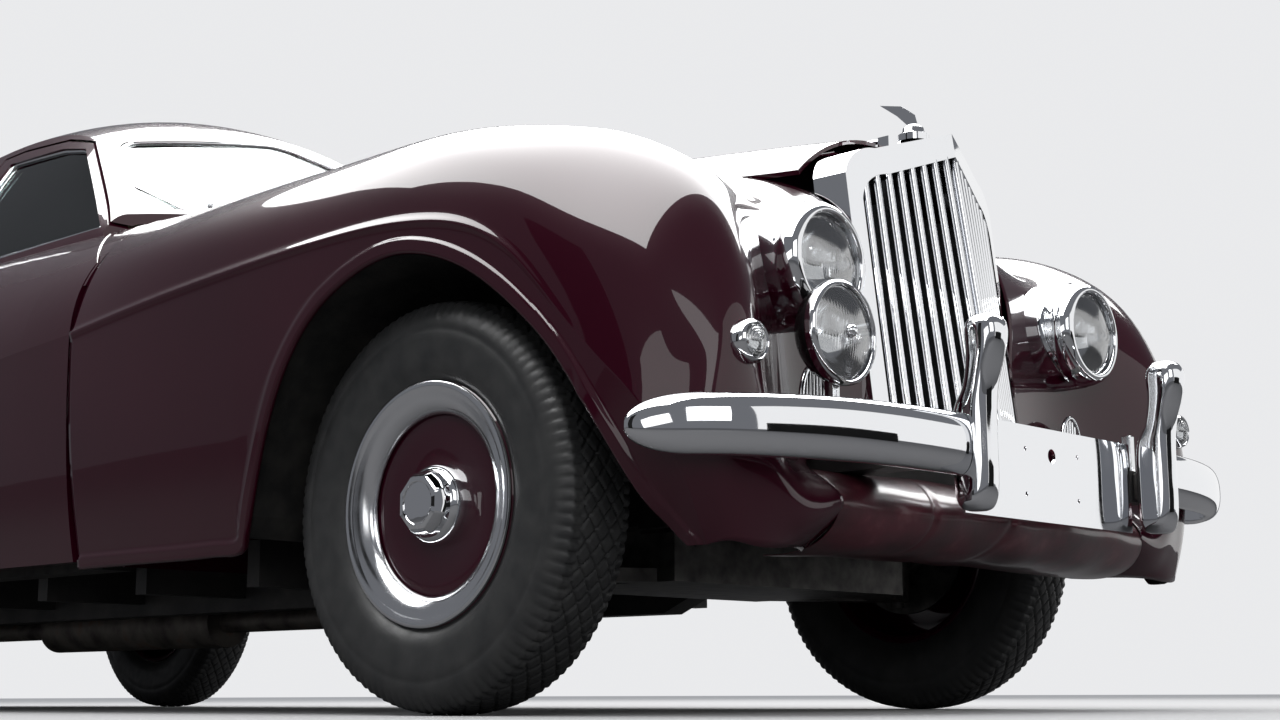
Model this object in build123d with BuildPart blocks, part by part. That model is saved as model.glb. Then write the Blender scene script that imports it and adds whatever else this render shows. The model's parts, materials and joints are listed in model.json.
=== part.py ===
from build123d import *
import os
from math import atan2, cos, degrees, hypot, radians, sin

# A two-door fastback touring car of the 1950s.
# Millimetres. +Z is up, the car faces -Y and +X is its left side.
# The origin is on the ground, below the middle of the car.
# Stations along the car are distances behind the front axle.

# Whole car
LENGTH = 5248.0
WHEELBASE = 3048.0
FRONT_OVERHANG = 882.0
FRONT_AXLE_Y = FRONT_OVERHANG - LENGTH / 2
REAR_AXLE_Y = FRONT_AXLE_Y + WHEELBASE
FRONT_TRACK = 1441.0
REAR_TRACK = 1486.0
BODY_GAP = 7.0
SEAT_GAP = 0.3
SKIN = 10.0

# Wheels and tyres
TYRE_R = 365.0
STUB_R = 31.7

# Steering
KINGPIN_X = 632.0
KINGPIN_R = 16.0

# Door openings and their hinges
DOOR_FRONT = 1037.0
DOOR_HINGE_X = 845.0
DOOR_HINGE_BEHIND_WHEEL = 972.0
DOOR_BACK_RADIUS = 1130.0
DOOR_HINGE_PIN_R = 8.0
DOOR_HINGE_HEIGHTS = (470.0, 830.0)
DOOR_BOTTOM = 312.0

# Chassis rail's front end
RAIL_FRONT = -740.0
RAIL_BACK = 4140.0
RAIL_X = (365.0, 432.0)
RAIL_TOP = 345.0

# Glass
GLASS_DEPTH = 12.0
GLASS = 6.0

# Body behind the front wings, from the windscreen foot to the tail.
# station, bottom x z, widest x z, shoulder x z, belt x z, cant rail x z, roof z, wall
BODY = [
    (1240, 846, 300, 893, 777, 838, 932, 702, 1072, 640, 1135, 1203, 60),
    (1400, 846, 296, 892, 765, 836, 925, 700, 1077, 585, 1270, 1366, 60),
    (1560, 846, 293, 891, 755, 834, 920, 698, 1080, 530, 1396, 1522, 60),
    (1700, 846, 291, 890, 746, 833, 918, 696, 1082, 508, 1450, 1570, 60),
    (1950, 846, 290, 889, 735, 832, 914, 694, 1082, 496, 1478, 1600, 60),
    (2350, 850, 290, 890, 725, 832, 908, 690, 1075, 490, 1452, 1577, 60),
    (2800, 862, 290, 904, 735, 838, 900, 690, 1040, 470, 1355, 1488, 40),
    (3250, 862, 292, 905, 730, 835, 875, 670, 975, 440, 1205, 1338, 40),
    (3700, 830, 320, 868, 680, 800, 800, 620, 880, 400, 1015, 1130, 40),
    (4020, 748, 366, 783, 615, 718, 714, 556, 776, 354, 850, 918, 40),
    (4205, 575, 415, 610, 548, 560, 615, 440, 655, 288, 692, 722, 40),
]
SIDE_BOW = 14.0
CABIN_BOW = 12.0
HEADER_ROW = 2

CABIN_FRONT = BODY[0][0]
TAIL_END = BODY[-1][0]

# Front wings, left side. The nose is closed all round, the main part is open inside.
# station, foot x z, widest x z, shoulder x z, crown x z, inner flank x z, inner edge x z, inner foot x z
WING_NOSE = [
    (-664, 708, 352, 735, 450, 729, 560, 702, 610, 672, 560, 664, 450, 690, 352),
    (-650, 730, 296, 780, 440, 768, 590, 699, 668, 628, 590, 612, 440, 662, 296),
    (-610, 747, 268, 808, 450, 790, 655, 696, 785, 575, 655, 552, 450, 616, 268),
    (-540, 757, 262, 836, 480, 815, 730, 696, 885, 545, 735, 515, 480, 560, 262),
]

# station, foot x z, widest x z, shoulder x z, crown x z, dip x z, bonnet edge x z
WING_MAIN = [
    (-540, 757, 262, 836, 480, 815, 730, 696, 885, 480, 855, 268, 905),
    (-440, 777, 265, 856, 590, 834, 810, 698, 955, 500, 908, 272, 958),
    (-300, 803, 275, 879, 752, 849, 905, 695, 1007, 505, 965, 296, 1000),
    (-100, 825, 285, 893, 838, 862, 965, 692, 1043, 520, 1008, 345, 1022),
    (150, 838, 295, 897, 849, 862, 972, 700, 1050, 555, 1031, 406, 1043),
    (450, 846, 303, 897, 836, 858, 966, 712, 1050, 597, 1047, 481, 1066),
    (750, 846, 303, 896, 815, 852, 955, 715, 1052, 636, 1064, 556, 1083),
    (1030, 846, 303, 893, 789, 838, 942, 716, 1062, 668, 1082, 620, 1098),
]
WING_BACK = WING_MAIN[-1][0]

# Door and cowl side ahead of the windscreen foot, and the same columns as BODY up to the belt
DOOR_NOSE = [
    (WING_BACK + BODY_GAP, 846, 303, 893, 789, 838, 942, 716, 1062, 60),
    (CABIN_FRONT, 846, 300, 893, 777, 838, 932, 702, 1072, 60),
]

# Wheel arch places: (station, height) of the lip
ARCH_FRONT = (-515.0, 350.0)
ARCH_TOP = (-25.0, 797.0)
ARCH_BACK = (430.0, 365.0)
ARCH_TOE = -585.0
ARCH_HEEL = 475.0
REAR_ARCH_R = 385.0
REAR_ARCH_Z = 300.0
REAR_LINER_R = 405.0

# Door outline seen from the side
DOOR_OUTLINE = [
    (880, DOOR_BOTTOM), (880, 948), (DOOR_FRONT, 948), (1215, 1078), (1585, 1400),
    (1720, 1434), (1950, 1452), (2140, 1448), (2260, 1400), (2260, DOOR_BOTTOM),
]
DOOR_WINDOW = [(1266, 1098), (1600, 1386), (1725, 1412), (1990, 1424), (2047, 1098)]
QUARTER_WINDOW = [(2168, 1098), (2112, 1418), (2400, 1396), (2600, 1320), (2700, 1200), (2722, 1098)]

# Headlamps
HEADLAMP_X = 446.0
HEADLAMP_Z = 759.0
HEADLAMP_R = 96.0
LAMP_POD = [(0, -600), (HEADLAMP_R + 12, -596), (HEADLAMP_R + 14, -535), (0, -535)]

# Half outlines seen from the front as (out, height), and the stations each glass spans
WINDSCREEN = [(0.0, 1222.0), (600.0, 1168.0), (488.0, 1402.0), (0.0, 1500.0)]
WINDSCREEN_SPAN = (1200.0, 1720.0)
REAR_WINDOW = [(0.0, 1370.0), (380.0, 1352.0), (360.0, 1470.0), (0.0, 1512.0)]
REAR_WINDOW_SPAN = (2500.0, 3300.0)

ROOF_EDGE = 452.0
BOOT_FRONT = 3330.0
BOOT_BACK = 4160.0
BOOT_HALF = 400.0
SPLIT = 0.3

# External boot hinges: the pin's (station, height) and how far each is from the middle
BOOT_HINGE = (3326.5, 1318.0)
BOOT_HINGE_X = 120.0
BOOT_PIN_R = 5.0
BOOT_EYE_R = 11.0

# Hinge arm outline from above, (out, back) from the pin
HINGE_ARM = [
    (0, -14), (-14, 0), (-68, 10), (-68, 102), (-8, 102), (-8, 84), (-52, 84), (-52, 26), (14, 10), (14, 0),
]
HINGE_ARM_HALF = 20.0

# Bonnet halves: station, edge x z, middle x z, hinge z
BONNET = [
    (-425, 265, 996, 150, 1072, 1102),
    (-250, 301, 1004, 170, 1085, 1122),
    (150, 398, 1040, 215, 1115, 1152),
    (550, 498, 1070, 270, 1142, 1177),
    (948, 592, 1095, 320, 1164, 1196),
]
BONNET_INNER_X = 14.0
BONNET_SKIN = 8.0
BONNET_KNUCKLES = (-360, -60, 240, 540, 840)
HINGE_ROD_R = 5.0
HINGE_ROD_FRONT_Z = 1108.0
HINGE_ROD_BACK_Z = 1202.0

# Cowl between the bonnet and the windscreen: station, edge x z, middle z
COWL = [(955, 716, 1053, 1196), (CABIN_FRONT, 702, 1072, 1203)]

# Where the cowl's front corners stop beside the wings' inner edges, seen from above
COWL_NOTCH = [(597, 940), (598, 955), (614, WING_BACK), (800, WING_BACK), (800, 940)]
FIREWALL_S = 956.0
FIREWALL = [
    (0.0, 300.0), (785.0, 300.0), (785.0, 970.0), (700.0, 1024.0), (560.0, 1024.0), (560.0, 1104.0),
    (300.0, 1163.0), (0.0, 1188.0),
]
POST_X = (725.0, 785.0)
POST_S = (905.0, 950.0)

# Radiator shell: a chrome surround with a ridge down its middle, leaning back
SHELL_LOW, SHELL_HIGH = 490.0, 1090.0
SHELL_HALF = 246.0
SHELL_RIDGE = (-683.0, -592.0)
SHELL_CORNER = (-573.0, -505.0)
SHELL_BACK = (-500.0, -432.0)
SHELL_BORDER = 30.0
SLATS_PER_SIDE = 8

# Lamps. Profiles are (radius, station).
SIDELAMP = (713.0, 579.0)
SIDELAMP_R = 34.0
FOG_X, FOG_Z, FOG_R = 500.0, 620.0, 86.0
FOG_FACE = -692.0
FOG_DEPTH = 70.0

# Front bumper: two blades swept back round the wings, a centre plate and overriders
BLADE_LOW, BLADE_HIGH = 388.0, 492.0
BLADE_THICK = 30.0

# The front blade seen from above: a shallow arc and then a tighter one round the wing's nose
FRONT_BLADE = [(342.3, -802.0), (481.0, -792.8), (615.0, -765.7), (876.0, -548.0)]
REAR_BLADE = [(0.0, 4322.0), (415.0, 4289.2), (815.0, 4193.2)]
PLATE_S = -776.0
OVERRIDER_X = 315.0
OVERRIDER_OUTLINE = [
    (-808, 330), (-846, 330), (-856, 380), (-856, 520), (-872, 570), (-882, 610), (-876, 642), (-850, 656),
    (-820, 650), (-806, 620), (-820, 560), (-820, 500), (-779.3, 490), (-779.3, 345),
]

# Front apron between the wings, below the radiator
APRON = [
    (-560, 399.7), (-640, 399.7), (-700, 372), (-722, 340), (-700, 290), (-640, 264), (-540, 268),
    (-420, 310),
]
APRON_INSIDE = [
    (-424, 319), (-541, 277), (-637, 273), (-692, 297), (-712, 338), (-692, 364), (-636, 390), (-560, 390),
]

# Rear bumper, lamps
REAR_END = LENGTH - FRONT_OVERHANG
REAR_OVERRIDER = [
    (4300, 380), (4350, 384), (4362, 450), (REAR_END, 540), (4350, 600), (4322, 600), (4316, 540),
    (4300, 500),
]

# Chassis: side rails that rise over the axles, with cross-members
RAIL = [
    (RAIL_FRONT, 400), (RAIL_FRONT, 460), (-300, 470), (260, 470), (520, 345), (2480, 345), (2680, 560),
    (3380, 560), (3560, 480), (RAIL_BACK, 480), (RAIL_BACK, 400), (3540, 400), (3360, 470), (2720, 470),
    (2520, 222), (480, 222), (230, 330), (-300, 340), (-515, 400),
]
CROSS_MEMBERS = [
    (-560, -440, 400, 450), (-560, -500, 440, SHELL_LOW - SEAT_GAP), (640, 720, 290, 340),
    (1500, 1580, 290, 340), (2380, 2460, 290, 340), (3480, 3540, 420, 480), (4080, 4136, 405, 470),
]
OUTRIGGERS = (620, 1020, 1420, 1820, 2220)
FLOOR_Z = 345.3

# Front suspension: cross-member with wishbones that hold the kingpins
KNUCKLE_Z = (240.0, 520.0)
EYE_R = 26.0

# Wheels: profiles are (radius, out from the wheel's middle)
DRUM = STUB_R - 6 + SEAT_GAP
TYRE = [
    (206.5, -65), (206.5, 65), (218, 67.5), (236, 82), (290, 87), (330, 84), (350, 74), (360, 60),
    (TYRE_R, 40),
    (TYRE_R, -40), (360, -60), (350, -74), (330, -84), (290, -87), (236, -82), (218, -67.5),
]
WHEEL = [
    (206, -72), (216, -72), (216, -68.8), (206, -68.4), (206, 68.4), (216, 68.8), (216, 74), (200, 74),
    (198, 60),
    (196, 44), (176, 40), (158, 48), (120, 46), (74, 42), (60, 36), (DRUM, 36), (DRUM, -30), (60, -30),
    (60, 22),
    (90, 30), (170, 28), (196, 30), (196, -66), (200, -72),
]
TRIM = [
    (160, 50), (164, 60), (186, 74), (199, 76), (199.7, 74.3), (216, 74.3), (216, 80), (206, 85), (186, 82),
    (168, 70), (160, 58),
]
HUB_CAP = [(0, 84), (0, 96), (30, 94), (46, 88), (58, 78), (68, 58), (71, 41.1), (64, 38.1), (40, 80)]

# Exhaust along the right side, fuel tank behind the axle
EXHAUST = [(250, 322), (600, 212), (1350, 210), (3420, 210), (4250, 240)]

# Cabin furniture
SEAT = [
    (1720, 355.6), (1720, 560), (1760, 600), (2160, 560), (2190, 590), (2330, 1010), (2370, 1010),
    (2400, 990),
    (2300, 560), (2260, 355.6),
]
REAR_SEAT = [
    (2600, 610.3), (2600, 720), (2640, 750), (3000, 720), (3170, 1040), (3230, 1040), (3300, 610.3),
]
DASHBOARD = [(1300, 860), (1300, 1010), (1340, 1050), (1430, 1040), (1440, 900), (1400, 860)]

STEERING_X = -350.0


def y_at(station):
    """Row position of a place measured behind the front axle."""
    return FRONT_AXLE_Y + station


def section_plane(station):
    """Upright plane across the car, local x to its left and local y up."""
    return Plane.XZ.offset(-y_at(station))


def side_plane(x):
    """Upright plane along the car at x, local x backwards and local y up."""
    return Plane.YZ.offset(x)


def bowed_middle(a, b, bow):
    """Point halfway from a to b, pushed to the left of the way by bow."""
    dx, dz = b[0] - a[0], b[1] - a[1]
    run = hypot(dx, dz)
    return ((a[0] + b[0]) / 2 - dz / run * bow, (a[1] + b[1]) / 2 + dx / run * bow)


os.makedirs("parts", exist_ok=True)


def body_section(row, depth, drop, extra):
    """One closed section of the body, moved in by depth and its floor down by drop."""
    s, x_bot, z_bot, x_w, z_w, x_sh, z_sh, x_bt, z_bt, x_rf, z_rf, z_top, wall = row
    if depth is None and row is BODY[-1]:
        s -= wall
    side = wall + extra if depth is None else depth
    top = wall * 0.55 + extra if depth is None else depth
    foot = (x_bot - side, z_bot - drop)
    wide = (x_w - side, z_w)
    shoulder = (x_sh - side * 0.94, z_sh - side * 0.34)
    belt = (x_bt - side * 0.8, z_bt - side * 0.4)
    rail = (x_rf - top * 0.8, z_rf - top * 0.6)
    crown = (0.0, z_top - top)
    with BuildSketch(section_plane(s)) as section:
        with BuildLine():
            Line((-foot[0], foot[1]), foot)
            for sign in (1, -1):
                pts = [foot, wide, shoulder, belt, rail]
                f, w, sh, b, r = [(sign * p[0], p[1]) for p in pts]
                fm = bowed_middle(pts[0], pts[1], -SIDE_BOW)
                rm = bowed_middle(pts[3], pts[4], -CABIN_BOW)
                ThreePointArc(f, (sign * fm[0], fm[1]), w)
                ThreePointArc(w, sh, b)
                ThreePointArc(b, (sign * rm[0], rm[1]), r)
            ThreePointArc(rail, crown, (-rail[0], rail[1]))
        make_face()
    return section.sketch


def body_solid(depth, drop=0.0, extra=0.0):
    """The body's closed form, moved in by depth, or by each row's wall and extra if None."""
    sections = [body_section(row, depth, drop, extra) for row in BODY]
    with BuildPart() as form:
        loft(sections[: HEADER_ROW + 1])
        loft(sections[HEADER_ROW:])
    return form.part


def pairs(row):
    """The x z pairs of a table row after its station."""
    return [(row[i], row[i + 1]) for i in range(1, len(row) - 1, 2)]


def nose_section(row, depth, drop):
    """Closed section of the wing's nose, moved in by depth."""
    foot, wide, shoulder, crown, flank, edge, inner_foot = pairs(row)
    middle = crown[0]

    def inwards(point, dz):
        side = 1 if point[0] > middle else -1
        return (point[0] - side * min(depth, abs(point[0] - middle) * 0.8), point[1] - dz)

    f, w, sh = inwards(foot, drop), inwards(wide, 0), inwards(shoulder, depth * 0.4)
    cr = (crown[0], crown[1] - depth)
    fl, ed, inf = inwards(flank, depth * 0.4), inwards(edge, 0), inwards(inner_foot, drop)
    with BuildSketch(section_plane(row[0])) as section:
        with BuildLine():
            ThreePointArc(f, bowed_middle(f, w, -SIDE_BOW), w)
            ThreePointArc(w, sh, cr)
            ThreePointArc(cr, fl, ed)
            Line(ed, inf)
            Line(inf, f)
        make_face()
    return section.sketch


def wing_section(row, station, depth, drop, spread):
    """Closed section of the main wing, open to the inside by spread past its bonnet edge."""
    foot, wide, shoulder, crown, dip, edge = pairs(row)
    f = (foot[0] - depth, foot[1] - drop)
    w = (wide[0] - depth, wide[1])
    sh = (shoulder[0] - depth * 0.9, shoulder[1] - depth * 0.45)
    cr = (crown[0], crown[1] - depth)
    di = (dip[0], dip[1] - depth)
    ed = (edge[0] - spread, edge[1] - depth)
    with BuildSketch(section_plane(station)) as section:
        with BuildLine():
            ThreePointArc(f, bowed_middle(f, w, -SIDE_BOW), w)
            ThreePointArc(w, sh, cr)
            ThreePointArc(cr, di, ed)
            Polyline(ed, (ed[0], f[1]), f)
        make_face()
    return section.sketch


def door_nose_section(row, depth, drop, spread):
    """Closed section of the body side ahead of the windscreen foot."""
    s, x_bot, z_bot, x_w, z_w, x_sh, z_sh, x_bt, z_bt, wall = row
    f = (x_bot - depth, z_bot - drop)
    w = (x_w - depth, z_w)
    sh = (x_sh - depth * 0.94, z_sh - depth * 0.34)
    b = (x_bt - depth * 0.8, z_bt - depth * 0.4)
    with BuildSketch(section_plane(s)) as section:
        with BuildLine():
            ThreePointArc(f, bowed_middle(f, w, -SIDE_BOW), w)
            ThreePointArc(w, sh, b)
            Polyline(b, (b[0] - spread, b[1]), (b[0] - spread, f[1]), f)
        make_face()
    return section.sketch


def lofted(sections):
    with BuildPart() as form:
        loft(sections)
    return form.part


def side_prism(points, x_from, x_to):
    """Prism along X from a closed side outline of (station, z) points."""
    with BuildPart() as form:
        with BuildSketch(side_plane(x_from)):
            with BuildLine():
                Polyline([(y_at(s), z) for s, z in points], close=True)
            make_face()
        extrude(amount=x_to - x_from)
    return form.part


def upright_cylinder(x, station, radius, z_from, z_to):
    with BuildPart() as form:
        with BuildSketch(Plane.XY.offset(z_from)):
            with Locations((x, y_at(station))):
                Circle(radius)
        extrude(amount=z_to - z_from)
    return form.part


def block(x, s, z):
    """Box between the ends of three (from, to) pairs, the middle one in stations."""
    with BuildPart() as form:
        with Locations(((x[0] + x[1]) / 2, y_at((s[0] + s[1]) / 2), (z[0] + z[1]) / 2)):
            Box(x[1] - x[0], s[1] - s[0], z[1] - z[0])
    return form.part


def cross_cylinder(x_from, x_to, station, z, radius):
    """Cylinder along X."""
    with BuildPart() as form:
        with BuildSketch(side_plane(x_from)):
            with Locations((y_at(station), z)):
                Circle(radius)
        extrude(amount=x_to - x_from)
    return form.part


def bar(a, b, radius):
    """Round bar between two (x, station, z) points."""
    start = Vector(a[0], y_at(a[1]), a[2])
    end = Vector(b[0], y_at(b[1]), b[2])
    with BuildPart() as form:
        with BuildSketch(Plane(origin=start, z_dir=end - start)):
            Circle(radius)
        extrude(amount=(end - start).length)
    return form.part


def lengthwise_turn(profile, x, z):
    """Revolve about an axis along Y at (x, z) of a closed (radius, station) profile."""
    with BuildPart() as form:
        with BuildSketch(Plane(origin=(x, 0, z), x_dir=(1, 0, 0), z_dir=(0, 0, 1))):
            with BuildLine():
                Polyline([(r, y_at(s)) for r, s in profile], close=True)
            make_face()
        revolve(axis=Axis((x, 0, z), (0, 1, 0)))
    return form.part


def wheel_turn(profile, x_centre, station, side):
    """Revolve about a wheel's axle of a closed (radius, out) profile, side is 1 on the left."""
    with BuildPart() as form:
        with BuildSketch(
            Plane(origin=(x_centre, y_at(station), TYRE_R), x_dir=(side, 0, 0), z_dir=(0, -side, 0)),
        ):
            with BuildLine():
                Polyline([(out, r) for r, out in profile], close=True)
            make_face()
        revolve(axis=Axis((x_centre, y_at(station), TYRE_R), (1, 0, 0)))
    return form.part


def both_sides(piece):
    """A left piece and its mirror image."""
    with BuildPart() as form:
        add(piece)
        mirror(about=Plane.YZ)
    return form.part


# Outer and inner forms that the panels are cut from
body_outer = body_solid(0.0)
body_inner = body_solid(None, 60.0)
body_liner_limit = body_solid(None, 60.0, 0.7)
glass_outer = body_solid(GLASS_DEPTH)
glass_inner = body_solid(GLASS_DEPTH + GLASS)
nose_outer = lofted([nose_section(row, 0.0, 0.0) for row in WING_NOSE])
nose_inner = lofted([nose_section(row, SKIN, 60.0) for row in WING_NOSE[1:]])
wing_outer = lofted([wing_section(row, row[0], 0.0, 0.0, 0.0) for row in WING_MAIN])
inner_stations = [row[0] for row in WING_MAIN]
inner_stations[0] += SKIN
inner_stations[-1] += 1.0
wing_inner = lofted(
    [wing_section(row, s, SKIN, 60.0, 60.0) for row, s in zip(WING_MAIN, inner_stations)]
)
liner_limit = lofted(
    [wing_section(row, s, SKIN + SEAT_GAP, 60.0, 60.0) for row, s in zip(WING_MAIN, inner_stations)]
)
door_nose_outer = lofted([door_nose_section(row, 0.0, 0.0, 60.0) for row in DOOR_NOSE])
door_nose_inner = lofted([door_nose_section(row, 60.0, 60.0, 60.0) for row in DOOR_NOSE])


def arch_prism(grow, x_from, x_to):
    """Front wheel arch opening, grown all round."""
    with BuildPart() as form:
        with BuildSketch(side_plane(x_from)) as profile:
            with BuildLine():
                front, top, back = ARCH_FRONT, ARCH_TOP, ARCH_BACK
                Line((y_at(ARCH_TOE), 150), (y_at(ARCH_TOE), 262))
                Line((y_at(ARCH_TOE), 262), (y_at(front[0]), front[1]))
                ThreePointArc((y_at(front[0]), front[1]), (y_at(-318), 650), (y_at(top[0]), top[1]))
                ThreePointArc((y_at(top[0]), top[1]), (y_at(262), 685), (y_at(back[0]), back[1]))
                Line((y_at(back[0]), back[1]), (y_at(ARCH_HEEL), 262))
                Line((y_at(ARCH_HEEL), 262), (y_at(ARCH_HEEL), 150))
                Line((y_at(ARCH_HEEL), 150), (y_at(ARCH_TOE), 150))
            make_face()
            if grow:
                offset(amount=grow, kind=Kind.INTERSECTION)
        extrude(amount=x_to - x_from)
    return form.part


def rear_arch_prism(radius, z, x_from, x_to):
    """Prism with a round top about height z and straight sides down to the ground."""
    with BuildPart() as form:
        with BuildSketch(side_plane(x_from)):
            with Locations((y_at(WHEELBASE), z)):
                Circle(radius)
            with Locations((y_at(WHEELBASE), z / 2)):
                Rectangle(2 * radius, z)
        extrude(amount=x_to - x_from)
    return form.part


def door_region(gap, side):
    """Space that the door fills, grown by gap, on the left or the right side."""
    x_from = 300.0 if side > 0 else -1000.0
    hinge_x = side * DOOR_HINGE_X
    reach = hypot(DOOR_FRONT - DOOR_HINGE_BEHIND_WHEEL, DOOR_NOSE[0][3] - DOOR_HINGE_X)
    with BuildPart() as form:
        with BuildSketch(side_plane(x_from)):
            with BuildLine():
                Polyline([(y_at(s), z) for s, z in DOOR_OUTLINE], close=True)
            make_face()
            if gap:
                offset(amount=gap, kind=Kind.INTERSECTION)
        extrude(amount=700.0)
        add(upright_cylinder(hinge_x, DOOR_HINGE_BEHIND_WHEEL, reach - gap, 0, 1700), mode=Mode.SUBTRACT)
        add(
            upright_cylinder(hinge_x, DOOR_HINGE_BEHIND_WHEEL, DOOR_BACK_RADIUS + gap, 0, 1700),
            mode=Mode.INTERSECT,
        )
    return form.part


def cabin_glass(outline, side, grow):
    """Pane that follows the body's side inside an outline."""
    x_from = 300.0 if side > 0 else -1000.0
    with BuildPart() as form:
        with BuildSketch(side_plane(x_from)):
            with BuildLine():
                Polyline([(y_at(s), z) for s, z in outline], close=True)
            make_face()
            offset(amount=grow, kind=Kind.INTERSECTION)
        extrude(amount=700.0)
        add(glass_outer, mode=Mode.INTERSECT)
        add(glass_inner, mode=Mode.SUBTRACT)
    return form.part


def screen_prism(points, s_from, s_to, grow, radius):
    """Prism along the car from half an outline of (x, z) points, mirrored about the middle."""
    outline = points + [(-x, z) for x, z in reversed(points) if x > 0]
    with BuildPart() as form:
        with BuildSketch(section_plane(s_to)) as profile:
            with BuildLine():
                Polyline(outline, close=True)
            make_face()
            if radius:
                fillet(profile.vertices(), radius)
            if grow:
                offset(amount=grow, kind=Kind.INTERSECTION)
        extrude(amount=s_to - s_from)
    return form.part


with BuildPart() as shell:
    add(body_outer)
    add(body_inner, mode=Mode.SUBTRACT)
    add(screen_prism(WINDSCREEN, *WINDSCREEN_SPAN, 0.0, 60.0), mode=Mode.SUBTRACT)
    add(screen_prism(REAR_WINDOW, *REAR_WINDOW_SPAN, 0.0, 40.0), mode=Mode.SUBTRACT)
body_shell = shell.part


boot_opening = block(
    (-BOOT_HALF - BODY_GAP, BOOT_HALF + BODY_GAP), (BOOT_FRONT - BODY_GAP, BOOT_BACK + BODY_GAP), (560, 1500)
)
boot_space = block((-BOOT_HALF, BOOT_HALF), (BOOT_FRONT, BOOT_BACK), (560, 1500))
middle_slab = block((-ROOF_EDGE, ROOF_EDGE), (1000, 4400), (590, 1700))


def boot_hinge_fixed(x):
    """Two eyes and their pin on the roof's edge."""
    s, z = BOOT_HINGE
    with BuildPart() as hinge:
        add(block((x - 20, x + 20), (s - 34, s - 13), (z - 32, z)))
        for low in (x - 20, x + 12):
            add(cross_cylinder(low, low + 8, s, z, BOOT_EYE_R))
            add(block((low, low + 8), (s - 14, s), (z - 11, z + 4)))
        add(cross_cylinder(x - 20, x + 20, s, z, BOOT_PIN_R))
    return hinge.part


def boot_hinge_moving(x):
    """The lid's eye between the fixed eyes, with its strap down to the lid."""
    s, z = BOOT_HINGE
    strap = [
        (s, z + 11), (s + 12, z + 4), (s + 44, z - 38), (s + 44, z - 50), (s + 4.5, z - 44),
        (s + 4.5, z - 10), (s, z - 11),
    ]
    with BuildPart() as hinge:
        add(cross_cylinder(x - 11.7, x + 11.7, s, z, BOOT_EYE_R))
        add(side_prism(strap, x - 11.7, x + 11.7))
        add(cross_cylinder(x - 20, x + 20, s, z, BOOT_PIN_R + SEAT_GAP), mode=Mode.SUBTRACT)
    return hinge.part


SCREEN_FOOT = block((-ROOF_EDGE, ROOF_EDGE), (CABIN_FRONT, 1300), (1000, 1232))
with BuildPart() as roof_panel:
    add(body_shell)
    add(middle_slab, mode=Mode.INTERSECT)
    add(boot_opening, mode=Mode.SUBTRACT)
    add(block((-900, 900), (BOOT_BACK - 10, 4400), (0, 1700)), mode=Mode.SUBTRACT)
    add(SCREEN_FOOT, mode=Mode.SUBTRACT)
    for x in (-BOOT_HINGE_X, BOOT_HINGE_X):
        add(boot_hinge_fixed(x))

with BuildPart() as tail_panel:
    add(body_shell)
    add(boot_opening, mode=Mode.SUBTRACT)
    add(block((-ROOF_EDGE, ROOF_EDGE), (BOOT_BACK - 10 + SPLIT, 4400), (200, 1700)), mode=Mode.INTERSECT)
    for x in (-RAIL_X[1], RAIL_X[0]):
        add(block((x - 7, x + 74), (BOOT_BACK - 20, 4400), (300, 484)), mode=Mode.SUBTRACT)

# Roof rail, pillars and quarter of one side
with BuildPart() as body_side_left:
    add(body_shell)
    add(block((ROOF_EDGE + SPLIT, 1000), (CABIN_FRONT, 4300), (DOOR_BOTTOM - 30, 1700)), mode=Mode.INTERSECT)
    add(door_region(BODY_GAP, 1), mode=Mode.SUBTRACT)
    add(side_prism(QUARTER_WINDOW, 300.0, 1000.0), mode=Mode.SUBTRACT)
    add(rear_arch_prism(REAR_ARCH_R, REAR_ARCH_Z, 640.0, 1000.0), mode=Mode.SUBTRACT)
    add(block((300, 1000), (1000, 2090), (0, DOOR_BOTTOM + 100)), mode=Mode.SUBTRACT)

with BuildPart() as body_side_right:
    mirror(body_side_left.part, about=Plane.YZ)

with BuildPart() as door_front_shell:
    add(door_nose_outer)
    add(door_nose_inner, mode=Mode.SUBTRACT)


def hinge_arm(z):
    """Goose-neck arm from the hinge pin round the wing's edge to the door's front face."""
    pin = (DOOR_HINGE_X, DOOR_HINGE_BEHIND_WHEEL)
    half = HINGE_ARM_HALF
    with BuildPart() as arm:
        with BuildSketch(Plane.XY.offset(z - half)):
            with BuildLine():
                Polyline(
                    [(pin[0] + u, y_at(pin[1] + v)) for u, v in HINGE_ARM],
                    close=True,
                )
            make_face()
        extrude(amount=2 * half)
        with Locations((pin[0], y_at(pin[1]), z)):
            Cylinder(DOOR_HINGE_PIN_R + SEAT_GAP, 3 * half, mode=Mode.SUBTRACT)
    return arm.part


# Doors
with BuildPart() as door_left:
    add(body_outer)
    add(body_inner, mode=Mode.SUBTRACT)
    add(door_front_shell.part)
    add(door_region(0.0, 1), mode=Mode.INTERSECT)
    add(side_prism(DOOR_WINDOW, 300.0, 1000.0), mode=Mode.SUBTRACT)
    for z in DOOR_HINGE_HEIGHTS:
        add(hinge_arm(z))

with BuildPart() as door_right:
    mirror(door_left.part, about=Plane.YZ)

# Boot lid
with BuildPart() as boot_lid:
    add(body_outer)
    add(body_inner, mode=Mode.SUBTRACT)
    add(boot_space, mode=Mode.INTERSECT)
    for x in (-BOOT_HINGE_X, BOOT_HINGE_X):
        add(boot_hinge_moving(x))

with BuildPart() as passage:
    add(nose_section(WING_NOSE[-1], SKIN, 60.0))
    extrude(amount=-2 * SKIN)
nose_passage = passage.part

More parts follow.
